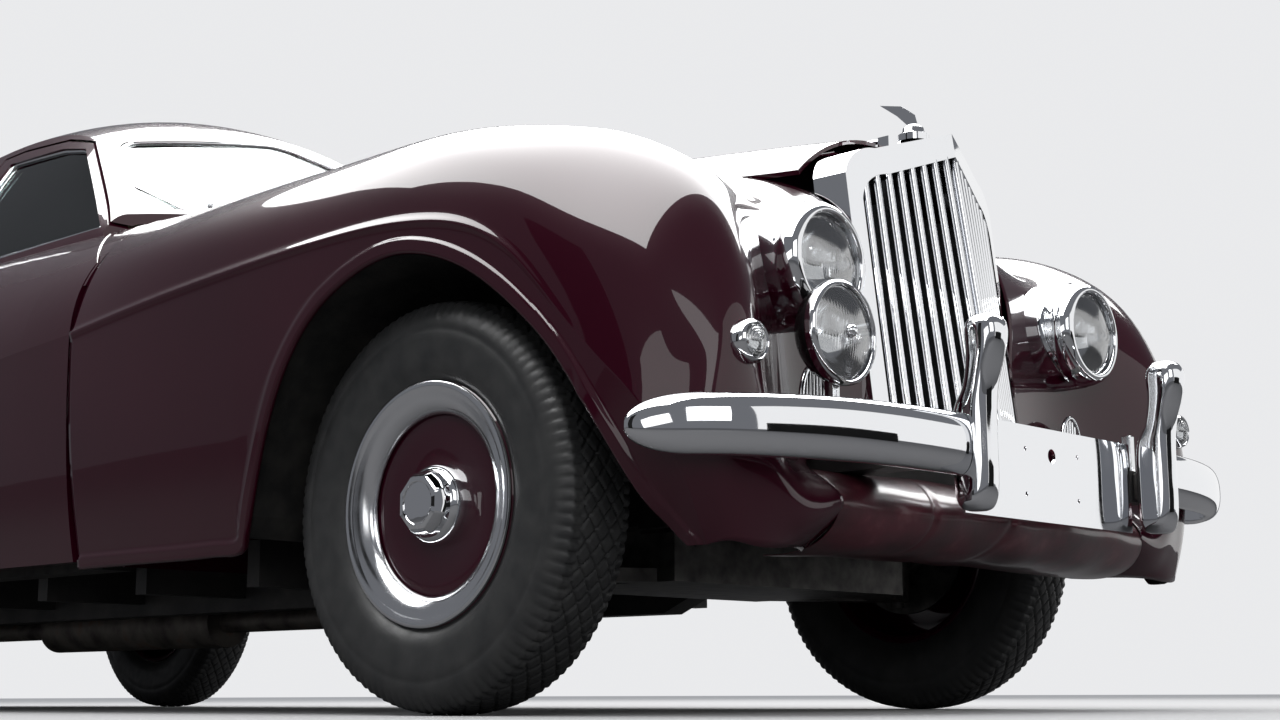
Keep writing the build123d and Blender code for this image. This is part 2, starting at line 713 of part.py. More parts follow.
# Front wings
with BuildPart() as wing_main:
    add(wing_outer)
    add(wing_inner, mode=Mode.SUBTRACT)
    add(block((200, 515), (-560, -500), (200, 495)), mode=Mode.SUBTRACT)
    add(nose_passage, mode=Mode.SUBTRACT)
with BuildPart() as wing_nose:
    add(nose_outer)
    add(nose_inner, mode=Mode.SUBTRACT)
with BuildPart() as front_wing_left:
    add(wing_main.part)
    add(wing_nose.part)
    add(
        lengthwise_turn(LAMP_POD, HEADLAMP_X, HEADLAMP_Z),
    )
    add(arch_prism(0.0, 520.0, 1000.0), mode=Mode.SUBTRACT)
with BuildPart() as front_wing_right:
    mirror(front_wing_left.part, about=Plane.YZ)

with BuildPart() as liner:
    add(arch_prism(30.0, 440.0, 900.0))
    add(arch_prism(18.0, 452.0, 960.0), mode=Mode.SUBTRACT)
    add(liner_limit, mode=Mode.INTERSECT)
    add(block((400, 1000), (-700, 700), (0, 330)), mode=Mode.SUBTRACT)
    add(block((400, 460), (-190, 190), (0, 560)), mode=Mode.SUBTRACT)
    add(block((430, 515), (-700, -480), (0, 1200)), mode=Mode.SUBTRACT)
with BuildPart() as rear_liner:
    add(rear_arch_prism(REAR_LINER_R + SKIN, TYRE_R, 606.0, 900.0))
    add(rear_arch_prism(REAR_LINER_R, TYRE_R, 618.0, 960.0), mode=Mode.SUBTRACT)
    add(block((400, 1000), (2000, 4000), (0, 330)), mode=Mode.SUBTRACT)
    add(block((600, 625), (WHEELBASE - 80, WHEELBASE + 80), (0, 480)), mode=Mode.SUBTRACT)
    add(body_liner_limit, mode=Mode.INTERSECT)
with BuildPart() as wheelhouses:
    add(both_sides(liner.part))
    add(both_sides(rear_liner.part))


def bonnet_section(row):
    s, x_e, z_e, x_m, z_m, z_c = row
    t = BONNET_SKIN
    with BuildSketch(section_plane(s)) as section:
        with BuildLine():
            ThreePointArc((BONNET_INNER_X, z_c), (x_m, z_m), (x_e, z_e))
            Line((x_e, z_e), (x_e - t * 0.5, z_e - t))
            ThreePointArc((x_e - t * 0.5, z_e - t), (x_m, z_m - t), (BONNET_INNER_X, z_c - t))
            Line((BONNET_INNER_X, z_c - t), (BONNET_INNER_X, z_c))
        make_face()
    return section.sketch


def rod_point(s):
    share = (s - BONNET[0][0]) / (BONNET[-1][0] - BONNET[0][0])
    return HINGE_ROD_FRONT_Z + (HINGE_ROD_BACK_Z - HINGE_ROD_FRONT_Z) * share


def knuckle(s, side):
    """Tab from the bonnet's inner edge that rests by the hinge rod."""
    z = rod_point(s)
    inner = HINGE_ROD_R + SEAT_GAP
    return block((inner, BONNET_INNER_X + 14.0), (s - 25, s + 25), (z - 14, z - 2))


# Bonnet halves and their hinge rod
with BuildPart() as bonnet_left:
    add(lofted([bonnet_section(row) for row in BONNET]))
    for s in BONNET_KNUCKLES:
        add(knuckle(s, 1))
with BuildPart() as bonnet_right:
    mirror(bonnet_left.part, about=Plane.YZ)
with BuildPart() as bonnet_hinge:
    add(bar((0, -425.6, rod_point(-425.6)), (0, 948.4, rod_point(948.4)), HINGE_ROD_R))


def cowl_section(row):
    s, x_e, z_e, z_c = row
    with BuildSketch(section_plane(s)) as section:
        with BuildLine():
            ThreePointArc((-x_e, z_e), (0, z_c), (x_e, z_e))
            Line((x_e, z_e), (x_e, z_e - SKIN))
            ThreePointArc((x_e, z_e - SKIN), (0, z_c - SKIN), (-x_e, z_e - SKIN))
            Line((-x_e, z_e - SKIN), (-x_e, z_e))
        make_face()
    return section.sketch


def hinge_bracket(z):
    """Plates from the hinge post to the pin, above and below the door's arm, with the pin."""
    pin = (DOOR_HINGE_X, DOOR_HINGE_BEHIND_WHEEL)
    inner, outer = HINGE_ARM_HALF + SEAT_GAP, HINGE_ARM_HALF + 12.0
    with BuildPart() as bracket:
        for low in (z + inner, z - outer):
            with BuildSketch(Plane.XY.offset(low)):
                with BuildLine():
                    Polyline(
                        (POST_X[1] - 10, y_at(POST_S[0])), (POST_X[1] - 10, y_at(POST_S[1])),
                        (pin[0], y_at(pin[1] + 12)), (pin[0] + 12, y_at(pin[1])), (pin[0], y_at(pin[1] - 14)),
                        close=True,
                    )
                make_face()
            extrude(amount=outer - inner)
        with Locations((pin[0], y_at(pin[1]), z)):
            Cylinder(DOOR_HINGE_PIN_R, 2 * outer)
    return bracket.part


def plan_prism(points, z_from, z_to):
    """Upright prism from a closed outline of (x, station) points."""
    with BuildPart() as form:
        with BuildSketch(Plane.XY.offset(z_from)):
            with BuildLine():
                Polyline([(x, y_at(s)) for x, s in points], close=True)
            make_face()
        extrude(amount=z_to - z_from)
    return form.part


# Cowl, firewall and door posts
with BuildPart() as cowl_side:
    add(door_nose_outer)
    add(door_nose_inner, mode=Mode.SUBTRACT)
    add(block((300, 1000), (900, CABIN_FRONT - 1), (900, 1200)), mode=Mode.INTERSECT)
with BuildPart() as screen_foot:
    add(body_shell)
    add(SCREEN_FOOT, mode=Mode.INTERSECT)
with BuildPart() as cowl:
    loft([cowl_section(row) for row in COWL])
    add(both_sides(plan_prism(COWL_NOTCH, 900, 1300)), mode=Mode.SUBTRACT)
    add(both_sides(cowl_side.part))
    add(screen_foot.part)
    add(block((600, 1000), (WING_BACK + 1, 1400), (200, 1400)) & door_region(BODY_GAP, 1), mode=Mode.SUBTRACT)
    add(
        block((-1000, -600), (WING_BACK + 1, 1400), (200, 1400)) & door_region(BODY_GAP, -1),
        mode=Mode.SUBTRACT,
    )
with BuildPart() as post:
    add(block(POST_X, POST_S, (345, 968)))
    for z in DOOR_HINGE_HEIGHTS:
        add(hinge_bracket(z))
with BuildPart() as scuttle:
    add(cowl.part)
    add(screen_prism(FIREWALL, FIREWALL_S, FIREWALL_S + 8, 0.0, 0.0))
    add(block((-POST_X[1], POST_X[1]), (POST_S[1] - 2, FIREWALL_S + 2), (345, 968)))
    add(block((-10, 10), (949, 975), (1182, 1208)))
    add(block((-130, 130), (900, 1000), (200, 520)), mode=Mode.SUBTRACT)
    for x in (-RAIL_X[1], RAIL_X[0]):
        add(
            block((x - SEAT_GAP, x + 67 + SEAT_GAP), (900, 1000), (200, RAIL_TOP + SEAT_GAP)),
            mode=Mode.SUBTRACT,
        )
    add(both_sides(post.part))

# Glass
with BuildPart() as windscreen:
    add(screen_prism(WINDSCREEN, *WINDSCREEN_SPAN, -SEAT_GAP, 60.0))
    add(glass_outer, mode=Mode.INTERSECT)
    add(glass_inner, mode=Mode.SUBTRACT)
with BuildPart() as rear_window:
    add(screen_prism(REAR_WINDOW, *REAR_WINDOW_SPAN, -SEAT_GAP, 40.0))
    add(glass_outer, mode=Mode.INTERSECT)
    add(glass_inner, mode=Mode.SUBTRACT)
with BuildPart() as door_glass_left:
    add(cabin_glass(DOOR_WINDOW, 1, -SEAT_GAP))
with BuildPart() as door_glass_right:
    mirror(door_glass_left.part, about=Plane.YZ)
with BuildPart() as quarter_windows:
    add(both_sides(cabin_glass(QUARTER_WINDOW, 1, -SEAT_GAP)))


def shell_plan(z, ridge, corner, back, half, set_back):
    with BuildSketch(Plane.XY.offset(z)) as plan:
        with BuildLine():
            Polyline(
                (0, y_at(ridge + set_back)), (half, y_at(corner + set_back)), (half, y_at(back)),
                (-half, y_at(back)), (-half, y_at(corner + set_back)), close=True,
            )
        make_face()
    return plan.sketch


def shell_wedge(set_back):
    return lofted([
        shell_plan(SHELL_LOW, SHELL_RIDGE[0], SHELL_CORNER[0], SHELL_BACK[0], SHELL_HALF + 4, set_back),
        shell_plan(
            SHELL_HIGH + 20, SHELL_RIDGE[1] + 3, SHELL_CORNER[1] + 2, SHELL_BACK[1] + 2, SHELL_HALF + 4,
            set_back,
        ),
    ])


def shell_front(border, s_from=-720.0, s_to=-420.0):
    """Prism of the front outline: upright sides, round shoulders and a low peak."""
    half, low, high = SHELL_HALF - border, SHELL_LOW + border, SHELL_HIGH - 1.6 * border
    with BuildPart() as form:
        with BuildSketch(section_plane(s_to)) as outline:
            with BuildLine():
                Polyline((-half, low), (half, low))
                Line((half, low), (half, high - 112))
                ThreePointArc((half, high - 112), (half * 0.93, high - 78), (half * 0.72, high - 56))
                Line((half * 0.72, high - 56), (0, high))
                Line((0, high), (-half * 0.72, high - 56))
                ThreePointArc((-half * 0.72, high - 56), (-half * 0.93, high - 78), (-half, high - 112))
                Line((-half, high - 112), (-half, low))
            make_face()
        extrude(amount=s_to - s_from)
    return form.part


with BuildPart() as radiator_shell:
    add(shell_front(0.0))
    add(shell_wedge(0.0), mode=Mode.INTERSECT)
    add(shell_front(SHELL_BORDER), mode=Mode.SUBTRACT)
    add(block((-8, 8), (-452, -426.2), (1070, 1114)))

with BuildPart() as slat_band:
    add(shell_front(SHELL_BORDER + SEAT_GAP))
    add(shell_wedge(10.0), mode=Mode.INTERSECT)
    add(shell_wedge(34.0), mode=Mode.SUBTRACT)
slat_pitch = (SHELL_HALF - SHELL_BORDER) / (SLATS_PER_SIDE + 0.25)
with BuildPart() as slats:
    for i in range(-SLATS_PER_SIDE, SLATS_PER_SIDE + 1):
        x = i * slat_pitch
        add(block((x - slat_pitch * 0.3, x + slat_pitch * 0.3), (-720, -400), (SHELL_LOW, SHELL_HIGH)))
    add(block((-SHELL_HALF, SHELL_HALF), (-720, -400), (SHELL_LOW, SHELL_LOW + SHELL_BORDER + 12)))
with BuildPart() as top_rail:
    add(shell_front(SHELL_BORDER + SEAT_GAP))
    add(shell_front(SHELL_BORDER + 12.0), mode=Mode.SUBTRACT)
with BuildPart() as radiator_grille:
    add(slats.part)
    add(top_rail.part)
    add(slat_band.part, mode=Mode.INTERSECT)

with BuildPart() as radiator_core:
    add(block((-205, 205), (-490, -440), (450.3, 940)))

with BuildPart() as radiator_cap:
    with BuildSketch(Plane.XZ.offset(-y_at(-505))):
        with BuildLine():
            Polyline(
                (0, 1090.3), (30, 1090.3), (30, 1104), (22, 1108), (20, 1118), (12, 1124), (0, 1126),
                close=True,
            )
        make_face()
    revolve(axis=Axis((0, y_at(-505), 0), (0, 0, 1)))
    with BuildSketch(side_plane(-3)):
        with BuildLine():
            Polyline(
                (y_at(-515), 1120), (y_at(-500), 1120), (y_at(-470), 1150), (y_at(-430), 1180),
                (y_at(-480), 1168), (y_at(-508), 1146), close=True,
            )
        make_face()
    extrude(amount=6)


def lamp_body(face, radius, depth, x, z):
    """Bowl and rim of a lamp whose glass sits at face."""
    return lengthwise_turn([
        (0, face + depth), (radius * 0.55, face + depth * 0.86), (radius * 0.95, face + 26),
        (radius, face + 14),
        (radius, face), (radius * 0.86, face - 10), (radius * 0.82, face), (radius * 0.82, face + 8),
        (radius * 0.5, face + depth * 0.7), (0, face + depth - 8),
    ], x, z)


def lamp_lens(face, radius, x, z):
    edge = radius * 0.82 - SEAT_GAP
    return lengthwise_turn([
        (0, face - 22), (edge * 0.6, face - 16), (edge, face - 2), (edge, face + 5), (0, face + 5),
    ], x, z)

# Lamps
with BuildPart() as headlamps:
    add(both_sides(lengthwise_turn([
        (0, -600.3), (HEADLAMP_R, -600.3), (HEADLAMP_R + 2, -616), (HEADLAMP_R * 0.88, -632),
        (HEADLAMP_R * 0.84, -622), (HEADLAMP_R * 0.84, -612), (0, -606),
    ], HEADLAMP_X, HEADLAMP_Z)))
with BuildPart() as fog_lamp:
    add(lamp_body(FOG_FACE, FOG_R, FOG_DEPTH, -FOG_X, FOG_Z))
    add(both_sides(block((FOG_X - 9, FOG_X + 9), (FOG_FACE + 16, FOG_FACE + 36), (440, 550))))
    add(both_sides(block((RAIL_X[1] + SEAT_GAP, FOG_X + 9), (FOG_FACE + 16, FOG_FACE + 36), (440, 452))))
with BuildPart() as lamp_lenses:
    add(both_sides(lamp_lens(-622.3, HEADLAMP_R * 1.02, HEADLAMP_X, HEADLAMP_Z)))
    add(lamp_lens(FOG_FACE, FOG_R, -FOG_X, FOG_Z))
    add(both_sides(lengthwise_turn([
        (0, -672.3), (SIDELAMP_R - 8, -674.3), (SIDELAMP_R - 8, -682), (14, -690), (0, -692),
    ], *SIDELAMP)))
with BuildPart() as sidelamps:
    add(both_sides(lengthwise_turn([
        (0, -664.3), (SIDELAMP_R, -664.3), (SIDELAMP_R, -674), (SIDELAMP_R - 4, -680),
        (SIDELAMP_R - 7, -674), (0, -672),
    ], *SIDELAMP)))


def blade(points, low, high, thick, forward):
    """Bumper blade swept along one or two arcs seen from above, crowned on its face."""
    places = [(x, y_at(s)) for x, s in points]
    with BuildLine(Plane.XY.offset((low + high) / 2)) as path:
        first = ThreePointArc(*places[:3])
        if len(places) > 3:
            TangentArc(places[2], places[3], tangent=first % 1)
    start = first @ 0
    ahead = first % 0
    half = (high - low) / 2
    with BuildPart() as form:
        with BuildSketch(Plane(origin=start, x_dir=(0, 0, 1), z_dir=ahead)) as face:
            with BuildLine():
                ThreePointArc((-half, 0), (0, forward * thick), (half, 0))
                Polyline((half, 0), (half, -forward * 7), (-half, -forward * 7), (-half, 0))
            make_face()
        sweep(path=path.wire())
    return form.part


front_blade = blade(FRONT_BLADE, BLADE_LOW, BLADE_HIGH, BLADE_THICK, 1)


def overrider(outline, x, half):
    """Upright overrider with round edges."""
    with BuildPart() as form:
        with BuildSketch(side_plane(x - half)):
            with BuildLine():
                Polyline([(y_at(s), z) for s, z in outline], close=True)
            make_face()
        extrude(amount=2 * half)
    return form.part


# Bumpers
with BuildPart() as front_bumper:
    add(both_sides(front_blade))
    add(both_sides(block((372, 428), (-800, RAIL_FRONT - SEAT_GAP), (405, 455))))
with BuildPart() as bumper_plate:
    add(block((-287.7, 287.7), (PLATE_S - 3, PLATE_S + 3), (332, 500)))
    with Locations(Plane(origin=(0, y_at(PLATE_S), 452), z_dir=(0, -1, 0))):
        Cylinder(13, 30, mode=Mode.SUBTRACT)
    for x in (-90, 90):
        for z in (378, 458):
            with Locations(Plane(origin=(x, y_at(PLATE_S), z), z_dir=(0, -1, 0))):
                Cylinder(4, 30, mode=Mode.SUBTRACT)
with BuildPart() as overriders_front:
    add(both_sides(overrider(OVERRIDER_OUTLINE, OVERRIDER_X, 27.0)))


def apron_section(x, back):
    with BuildSketch(side_plane(x)) as section:
        with BuildLine():
            Polyline([(y_at(s + back), z) for s, z in APRON + APRON_INSIDE], close=True)
        make_face()
    return section.sketch


# Front apron
with BuildPart() as front_apron:
    loft([apron_section(-505, 40), apron_section(0, 0)], ruled=True)
    loft([apron_section(0, 0), apron_section(505, 40)], ruled=True)

rear_blade = blade(REAR_BLADE, 400.0, 500.0, BLADE_THICK, -1)
with BuildPart() as rear_bumper:
    add(both_sides(rear_blade))
    add(both_sides(overrider(REAR_OVERRIDER, OVERRIDER_X, 27.0)))
    add(both_sides(block((372, 428), (RAIL_BACK + SEAT_GAP, 4296), (412, 472))))
with BuildPart() as tail_lamps:
    add(both_sides(lengthwise_turn([
        (0, TAIL_END + SEAT_GAP), (30, TAIL_END + SEAT_GAP), (30, TAIL_END + 14), (23, TAIL_END + 24),
        (0, TAIL_END + 28),
    ], 515.0, 560.0)))

with BuildPart() as rail:
    add(side_prism(RAIL, *RAIL_X))
    for s in OUTRIGGERS:
        add(side_prism([(s, 250), (s + 40, 250), (s + 40, 344), (s, 344)], RAIL_X[1], 690.0))
    add(block((RAIL_X[1] - 1, 565), (2390, 2420 - SEAT_GAP), (236, 300)))
    add(block((RAIL_X[1] - 1, 565), (3700 + SEAT_GAP, 3730), (372, 478)))

# Chassis and floor
with BuildPart() as chassis_frame:
    add(both_sides(rail.part))
    for s_from, s_to, z_from, z_to in CROSS_MEMBERS:
        add(block((-RAIL_X[0] - 1, RAIL_X[0] + 1), (s_from, s_to), (z_from, z_to)))

with BuildPart() as floor_pan:
    add(block((-772, 772), (1060, 2480), (FLOOR_Z, FLOOR_Z + 10)))
    add(block((-100, 100), (1060, 2480), (FLOOR_Z, 475)))
    add(block((-590, 590), (2470, 2480), (FLOOR_Z, 610)))
    add(block((-90, 90), (1050, 2490), (300, 465)), mode=Mode.SUBTRACT)
    add(block((-590, 590), (2470, 3570), (600, 610)))
    add(block((-590, 590), (3560, 3570), (481, 610)))
    add(block((-560, 560), (3560, 4140), (481, 491)))
    for x in (-772, 700):
        add(block((x, x + 72), (1060, 2480), (300, FLOOR_Z)))

# Engine with its gearbox, one plain block stepped down at the back
with BuildPart() as engine_block:
    add(side_prism([
        (-330, 420), (-330, 880), (-260, 960), (480, 960), (560, 880), (560, 620), (900, 560), (900, 360),
        (300, 360),
        (260, 420),
    ], -190.0, 190.0))
    add(block((-60, 60), (650, 710), (340 + SEAT_GAP, 361)))
    add(both_sides(block((189, RAIL_X[0] - SEAT_GAP), (125, 165), (430, 465))))


def wishbone(z, z_low, half_length):
    with BuildPart() as arm:
        with BuildSketch(Plane.XY.offset(z_low)):
            with BuildLine():
                Polyline(
                    (300, y_at(-half_length)), (KINGPIN_X - 16, y_at(-EYE_R)), (KINGPIN_X - 16, y_at(EYE_R)),
                    (300, y_at(half_length)), (300, y_at(half_length - 60)), (KINGPIN_X - 110, y_at(0)),
                    (300, y_at(-half_length + 60)), close=True,
                )
            make_face()
            with Locations((KINGPIN_X, y_at(0))):
                Circle(EYE_R)
        extrude(amount=z)
        with Locations((KINGPIN_X, y_at(0), z_low)):
            Cylinder(KINGPIN_R + SEAT_GAP, 400, mode=Mode.SUBTRACT)
    return arm.part


with BuildPart() as suspension_side:
    add(wishbone(25.0, KNUCKLE_Z[0], 190.0))
    add(wishbone(20.0, KNUCKLE_Z[1] - 20.0, 110.0))
    add(block((150, 364.7), (-200, 200), (KNUCKLE_Z[0], KNUCKLE_Z[0] + 90)))
    add(block((300, 364.7), (-115, 115), (330, KNUCKLE_Z[1])))

# Front suspension
with BuildPart() as front_suspension:
    add(both_sides(suspension_side.part))
    add(block((-160, 160), (-200, 200), (KNUCKLE_Z[0], KNUCKLE_Z[0] + 90)))
with BuildPart() as knuckle_left:
    add(upright_cylinder(KINGPIN_X, 0, KINGPIN_R, KNUCKLE_Z[0] - 12, KNUCKLE_Z[1] + 12))
    add(upright_cylinder(KINGPIN_X, 0, 30, KNUCKLE_Z[0] + 25 + SEAT_GAP, KNUCKLE_Z[1] - 20 - SEAT_GAP))
    add(cross_cylinder(KINGPIN_X, 756, 0, TYRE_R, STUB_R - 6))
    add(cross_cylinder(KINGPIN_X, 676, 0, TYRE_R, 60))
    add(cross_cylinder(668, 676, 0, TYRE_R, 150))
    add(bar((KINGPIN_X, 0, 300), (KINGPIN_X - 60, 190, 300), 11))
with BuildPart() as knuckle_right:
    mirror(knuckle_left.part, about=Plane.YZ)

corners = []
for axle, station, track in (("front", 0.0, FRONT_TRACK), ("rear", WHEELBASE, REAR_TRACK)):
    for side_name, side in (("left", 1), ("right", -1)):
        x = side * track / 2
        for piece_name, profile in (("tyre", TYRE), ("wheel", WHEEL)):
            with BuildPart() as turned:
                add(wheel_turn(profile, x, station, side))
            corners.append((turned, f"{piece_name}_{axle}_{side_name}"))
        with BuildPart() as trim:
            add(wheel_turn(TRIM, x, station, side))
            add(wheel_turn(HUB_CAP, x, station, side))
        corners.append((trim, f"wheel_trim_{axle}_{side_name}"))

# Rear axle, springs and propeller shaft
with BuildPart() as rear_axle:
    add(cross_cylinder(-776, 776, WHEELBASE, TYRE_R, DRUM - SEAT_GAP))
    add(cross_cylinder(-690, 690, WHEELBASE, TYRE_R, 42))
    with Locations((0, REAR_AXLE_Y, TYRE_R)):
        Sphere(130)
    for side in (-1, 1):
        add(cross_cylinder(min(side * 676, side * 700), max(side * 676, side * 700), WHEELBASE, TYRE_R, 150))
    add(bar((0, 2960, TYRE_R), (0, 903, 400), 30))
with BuildPart() as leaf_springs:
    add(both_sides(side_prism([
        (2420, 250), (2420, 280), (2720, 310), (2990, 322.7), (3110, 322.7), (3380, 330),
        (3700, 396), (3700, 372), (3400, 300), (3048, 282), (2700, 280),
    ], 500.0, 560.0)))

# Exhaust and fuel tank
with BuildPart() as exhaust:
    for a, b in zip(EXHAUST, EXHAUST[1:]):
        add(bar((-250, *a), (-250, *b), 25))
        with Locations((-250, y_at(b[0]), b[1])):
            Sphere(25)
    add(bar((-250, 1340, 210), (-250, 2100, 210), 60))
    add(block((-262, -238), (1520, 1560), (262, 290 - SEAT_GAP)))
    add(block((-256, -244), (4120, 4132), (240, 405 - SEAT_GAP)))
with BuildPart() as fuel_tank:
    add(block((-360, 360), (3560, 4110), (300, 405 - SEAT_GAP)))
    fillet(fuel_tank.edges().filter_by(Axis.Z), 40)

# Seats, dashboard and steering wheel
with BuildPart() as front_seats:
    add(both_sides(side_prism(SEAT, 110.0, 600.0)))
with BuildPart() as rear_seat:
    add(side_prism(REAR_SEAT, -520.0, 520.0))
with BuildPart() as dashboard:
    add(side_prism(DASHBOARD, -620.0, 620.0))
    add(both_sides(block((250, 280), (FIREWALL_S + 8 + SEAT_GAP, 1301), (900, 930))))
with BuildPart() as steering_wheel:
    wheel_plane = Plane(origin=(STEERING_X, y_at(1640), 920), z_dir=(0, 0.86, 0.5))
    with BuildSketch(wheel_plane * Pos(0, 0, -9)):
        Circle(205)
        Circle(186, mode=Mode.SUBTRACT)
        Circle(38)
        for angle in (90, 210, 330):
            with Locations(Rotation(0, 0, angle) * Pos(110, 0, 0)):
                Rectangle(175, 14)
    extrude(amount=18)
    add(bar((STEERING_X, 1640, 920), (STEERING_X, 973.3, 538), 18))

# Files
pieces = [
    (roof_panel, "roof_panel"), (tail_panel, "tail_panel"), (body_side_left, "body_side_left"),
    (body_side_right, "body_side_right"), (door_left, "door_left"), (door_right, "door_right"),
    (boot_lid, "boot_lid"), (front_wing_left, "front_wing_left"), (front_wing_right, "front_wing_right"),
    (wheelhouses, "wheelhouses"), (bonnet_left, "bonnet_left"), (bonnet_right, "bonnet_right"),
    (bonnet_hinge, "bonnet_hinge"),
    (scuttle, "scuttle"), (windscreen, "windscreen"), (rear_window, "rear_window"),
    (door_glass_left, "door_glass_left"), (door_glass_right, "door_glass_right"),
    (quarter_windows, "quarter_windows"), (radiator_shell, "radiator_shell"),
    (radiator_grille, "radiator_grille"), (radiator_core, "radiator_core"), (radiator_cap, "radiator_cap"),
    (headlamps, "headlamps"), (fog_lamp, "fog_lamp"), (lamp_lenses, "lamp_lenses"), (sidelamps, "sidelamps"),
    (front_bumper, "front_bumper"), (bumper_plate, "bumper_plate"),
    (overriders_front, "overriders_front"), (front_apron, "front_apron"), (rear_bumper, "rear_bumper"),
    (tail_lamps, "tail_lamps"), (chassis_frame, "chassis_frame"), (floor_pan, "floor_pan"),
    (engine_block, "engine_block"), (front_suspension, "front_suspension"), (knuckle_left, "knuckle_left"),
    (knuckle_right, "knuckle_right"), (rear_axle, "rear_axle"), (leaf_springs, "leaf_springs"),
    (exhaust, "exhaust"), (fuel_tank, "fuel_tank"), (front_seats, "front_seats"), (rear_seat, "rear_seat"),
    (dashboard, "dashboard"), (steering_wheel, "steering_wheel"),
] + corners
for piece, name in pieces:
    piece.part.label = name
    export_step(piece.part, f"parts/{name}.step")
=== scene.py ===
import json
import math

import bmesh
import bpy
import numpy as np
from mathutils import Matrix, Quaternion, Vector


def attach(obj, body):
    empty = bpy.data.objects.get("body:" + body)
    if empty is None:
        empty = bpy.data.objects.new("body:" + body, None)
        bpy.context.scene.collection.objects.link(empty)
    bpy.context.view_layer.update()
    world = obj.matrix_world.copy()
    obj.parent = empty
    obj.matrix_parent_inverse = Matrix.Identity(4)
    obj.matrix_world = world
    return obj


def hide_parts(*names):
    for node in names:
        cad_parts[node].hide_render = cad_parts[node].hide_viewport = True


# A two-door fastback touring car of the 1950s, dressed over its CAD frame.
# Metres. +Z is up, the car faces -Y and +X is its left side.
# Tables are in millimetres, with stations measured behind the front axle.

MM = 0.001
FRONT_AXLE_Y = -1742.0
WHEELBASE = 3048.0
FRONT_TRACK = 1441.0
REAR_TRACK = 1486.0
TYRE_R = 365.0

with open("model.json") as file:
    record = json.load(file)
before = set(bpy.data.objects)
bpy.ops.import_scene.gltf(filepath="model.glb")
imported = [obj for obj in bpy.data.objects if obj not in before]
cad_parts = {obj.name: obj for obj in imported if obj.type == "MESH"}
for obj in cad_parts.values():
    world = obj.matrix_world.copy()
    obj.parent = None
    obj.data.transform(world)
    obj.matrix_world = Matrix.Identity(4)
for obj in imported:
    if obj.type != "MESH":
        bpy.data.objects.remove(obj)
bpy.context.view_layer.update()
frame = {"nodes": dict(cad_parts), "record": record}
nodes = frame["nodes"]


# Geometry helpers


def place(x, station, z):
    """Row position in metres of a place given in millimetres."""
    return Vector((x * MM, (FRONT_AXLE_Y + station) * MM, z * MM))


def natural_spline(t, values):
    """Slopes of the natural cubic spline through values at t, one row per knot."""
    t, values = np.asarray(t, float), np.asarray(values, float)
    n = len(t)
    h = np.diff(t)
    system = np.zeros((n, n))
    right = np.zeros((n,) + values.shape[1:])
    rate = np.diff(values, axis=0) / h.reshape((-1,) + (1,) * (values.ndim - 1))
    system[0, 0], system[0, 1], right[0] = 2, 1, 3 * rate[0]
    system[-1, -1], system[-1, -2], right[-1] = 2, 1, 3 * rate[-1]
    for i in range(1, n - 1):
        system[i, i - 1], system[i, i], system[i, i + 1] = h[i], 2 * (h[i - 1] + h[i]), h[i - 1]
        right[i] = 3 * (h[i] * rate[i - 1] + h[i - 1] * rate[i])
    return np.linalg.solve(system, right.reshape(n, -1)).reshape(values.shape)


def spline_at(t, values, slopes, x):
    """Cubic spline's values at every x."""
    t, values = np.asarray(t, float), np.asarray(values, float)
    x = np.asarray(x, float)
    i = np.clip(np.searchsorted(t, x) - 1, 0, len(t) - 2)
    h = (t[i + 1] - t[i])
    u = (x - t[i]) / h
    shape = (-1,) + (1,) * (values.ndim - 1)
    u, h = u.reshape(shape), h.reshape(shape)
    return (
        values[i] * (2 * u**3 - 3 * u**2 + 1) + values[i + 1] * (3 * u**2 - 2 * u**3)
        + slopes[i] * h * (u**3 - 2 * u**2 + u) + slopes[i + 1] * h * (u**3 - u**2)
    )


def smooth_curve(points, count):
    """Evenly spaced points on the spline through a short list of points."""
    points = np.asarray(points, float)
    t = np.concatenate([[0], np.cumsum(np.linalg.norm(np.diff(points, axis=0), axis=1))])
    return spline_at(t, points, natural_spline(t, points), np.linspace(0, t[-1], count))


def new_object(name, vertices, faces, material, body, smooth=True):
    mesh = bpy.data.meshes.new(name)
    mesh.from_pydata([tuple(v) for v in vertices], [], faces)
    mesh.validate()
    obj = bpy.data.objects.new(name, mesh)
    bpy.context.scene.collection.objects.link(obj)
    mesh.materials.append(material)
    if smooth:
        mesh.polygons.foreach_set("use_smooth", [True] * len(mesh.polygons))
    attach(obj, body)
    return obj


def grid_faces(rows, columns, closed_rows=False, closed_columns=False):
    faces = []
    for i in range(rows if closed_rows else rows - 1):
        for j in range(columns if closed_columns else columns - 1):
            a, b = i * columns + j, i * columns + (j + 1) % columns
            c, d = ((i + 1) % rows) * columns + (j + 1) % columns, ((i + 1) % rows) * columns + j
            faces.append((a, b, c, d))
    return faces


def flip(faces):
    return [tuple(reversed(f)) for f in faces]


def modifier(obj, kind, **values):
    added = obj.modifiers.new(kind.title(), kind)
    for key, value in values.items():
        setattr(added, key, value)
    return added


def apply_modifiers(obj):
    """Keeps the evaluated mesh as the object's own."""
    graph = bpy.context.evaluated_depsgraph_get()
    mesh = bpy.data.meshes.new_from_object(obj.evaluated_get(graph))
    obj.modifiers.clear()
    obj.data = mesh


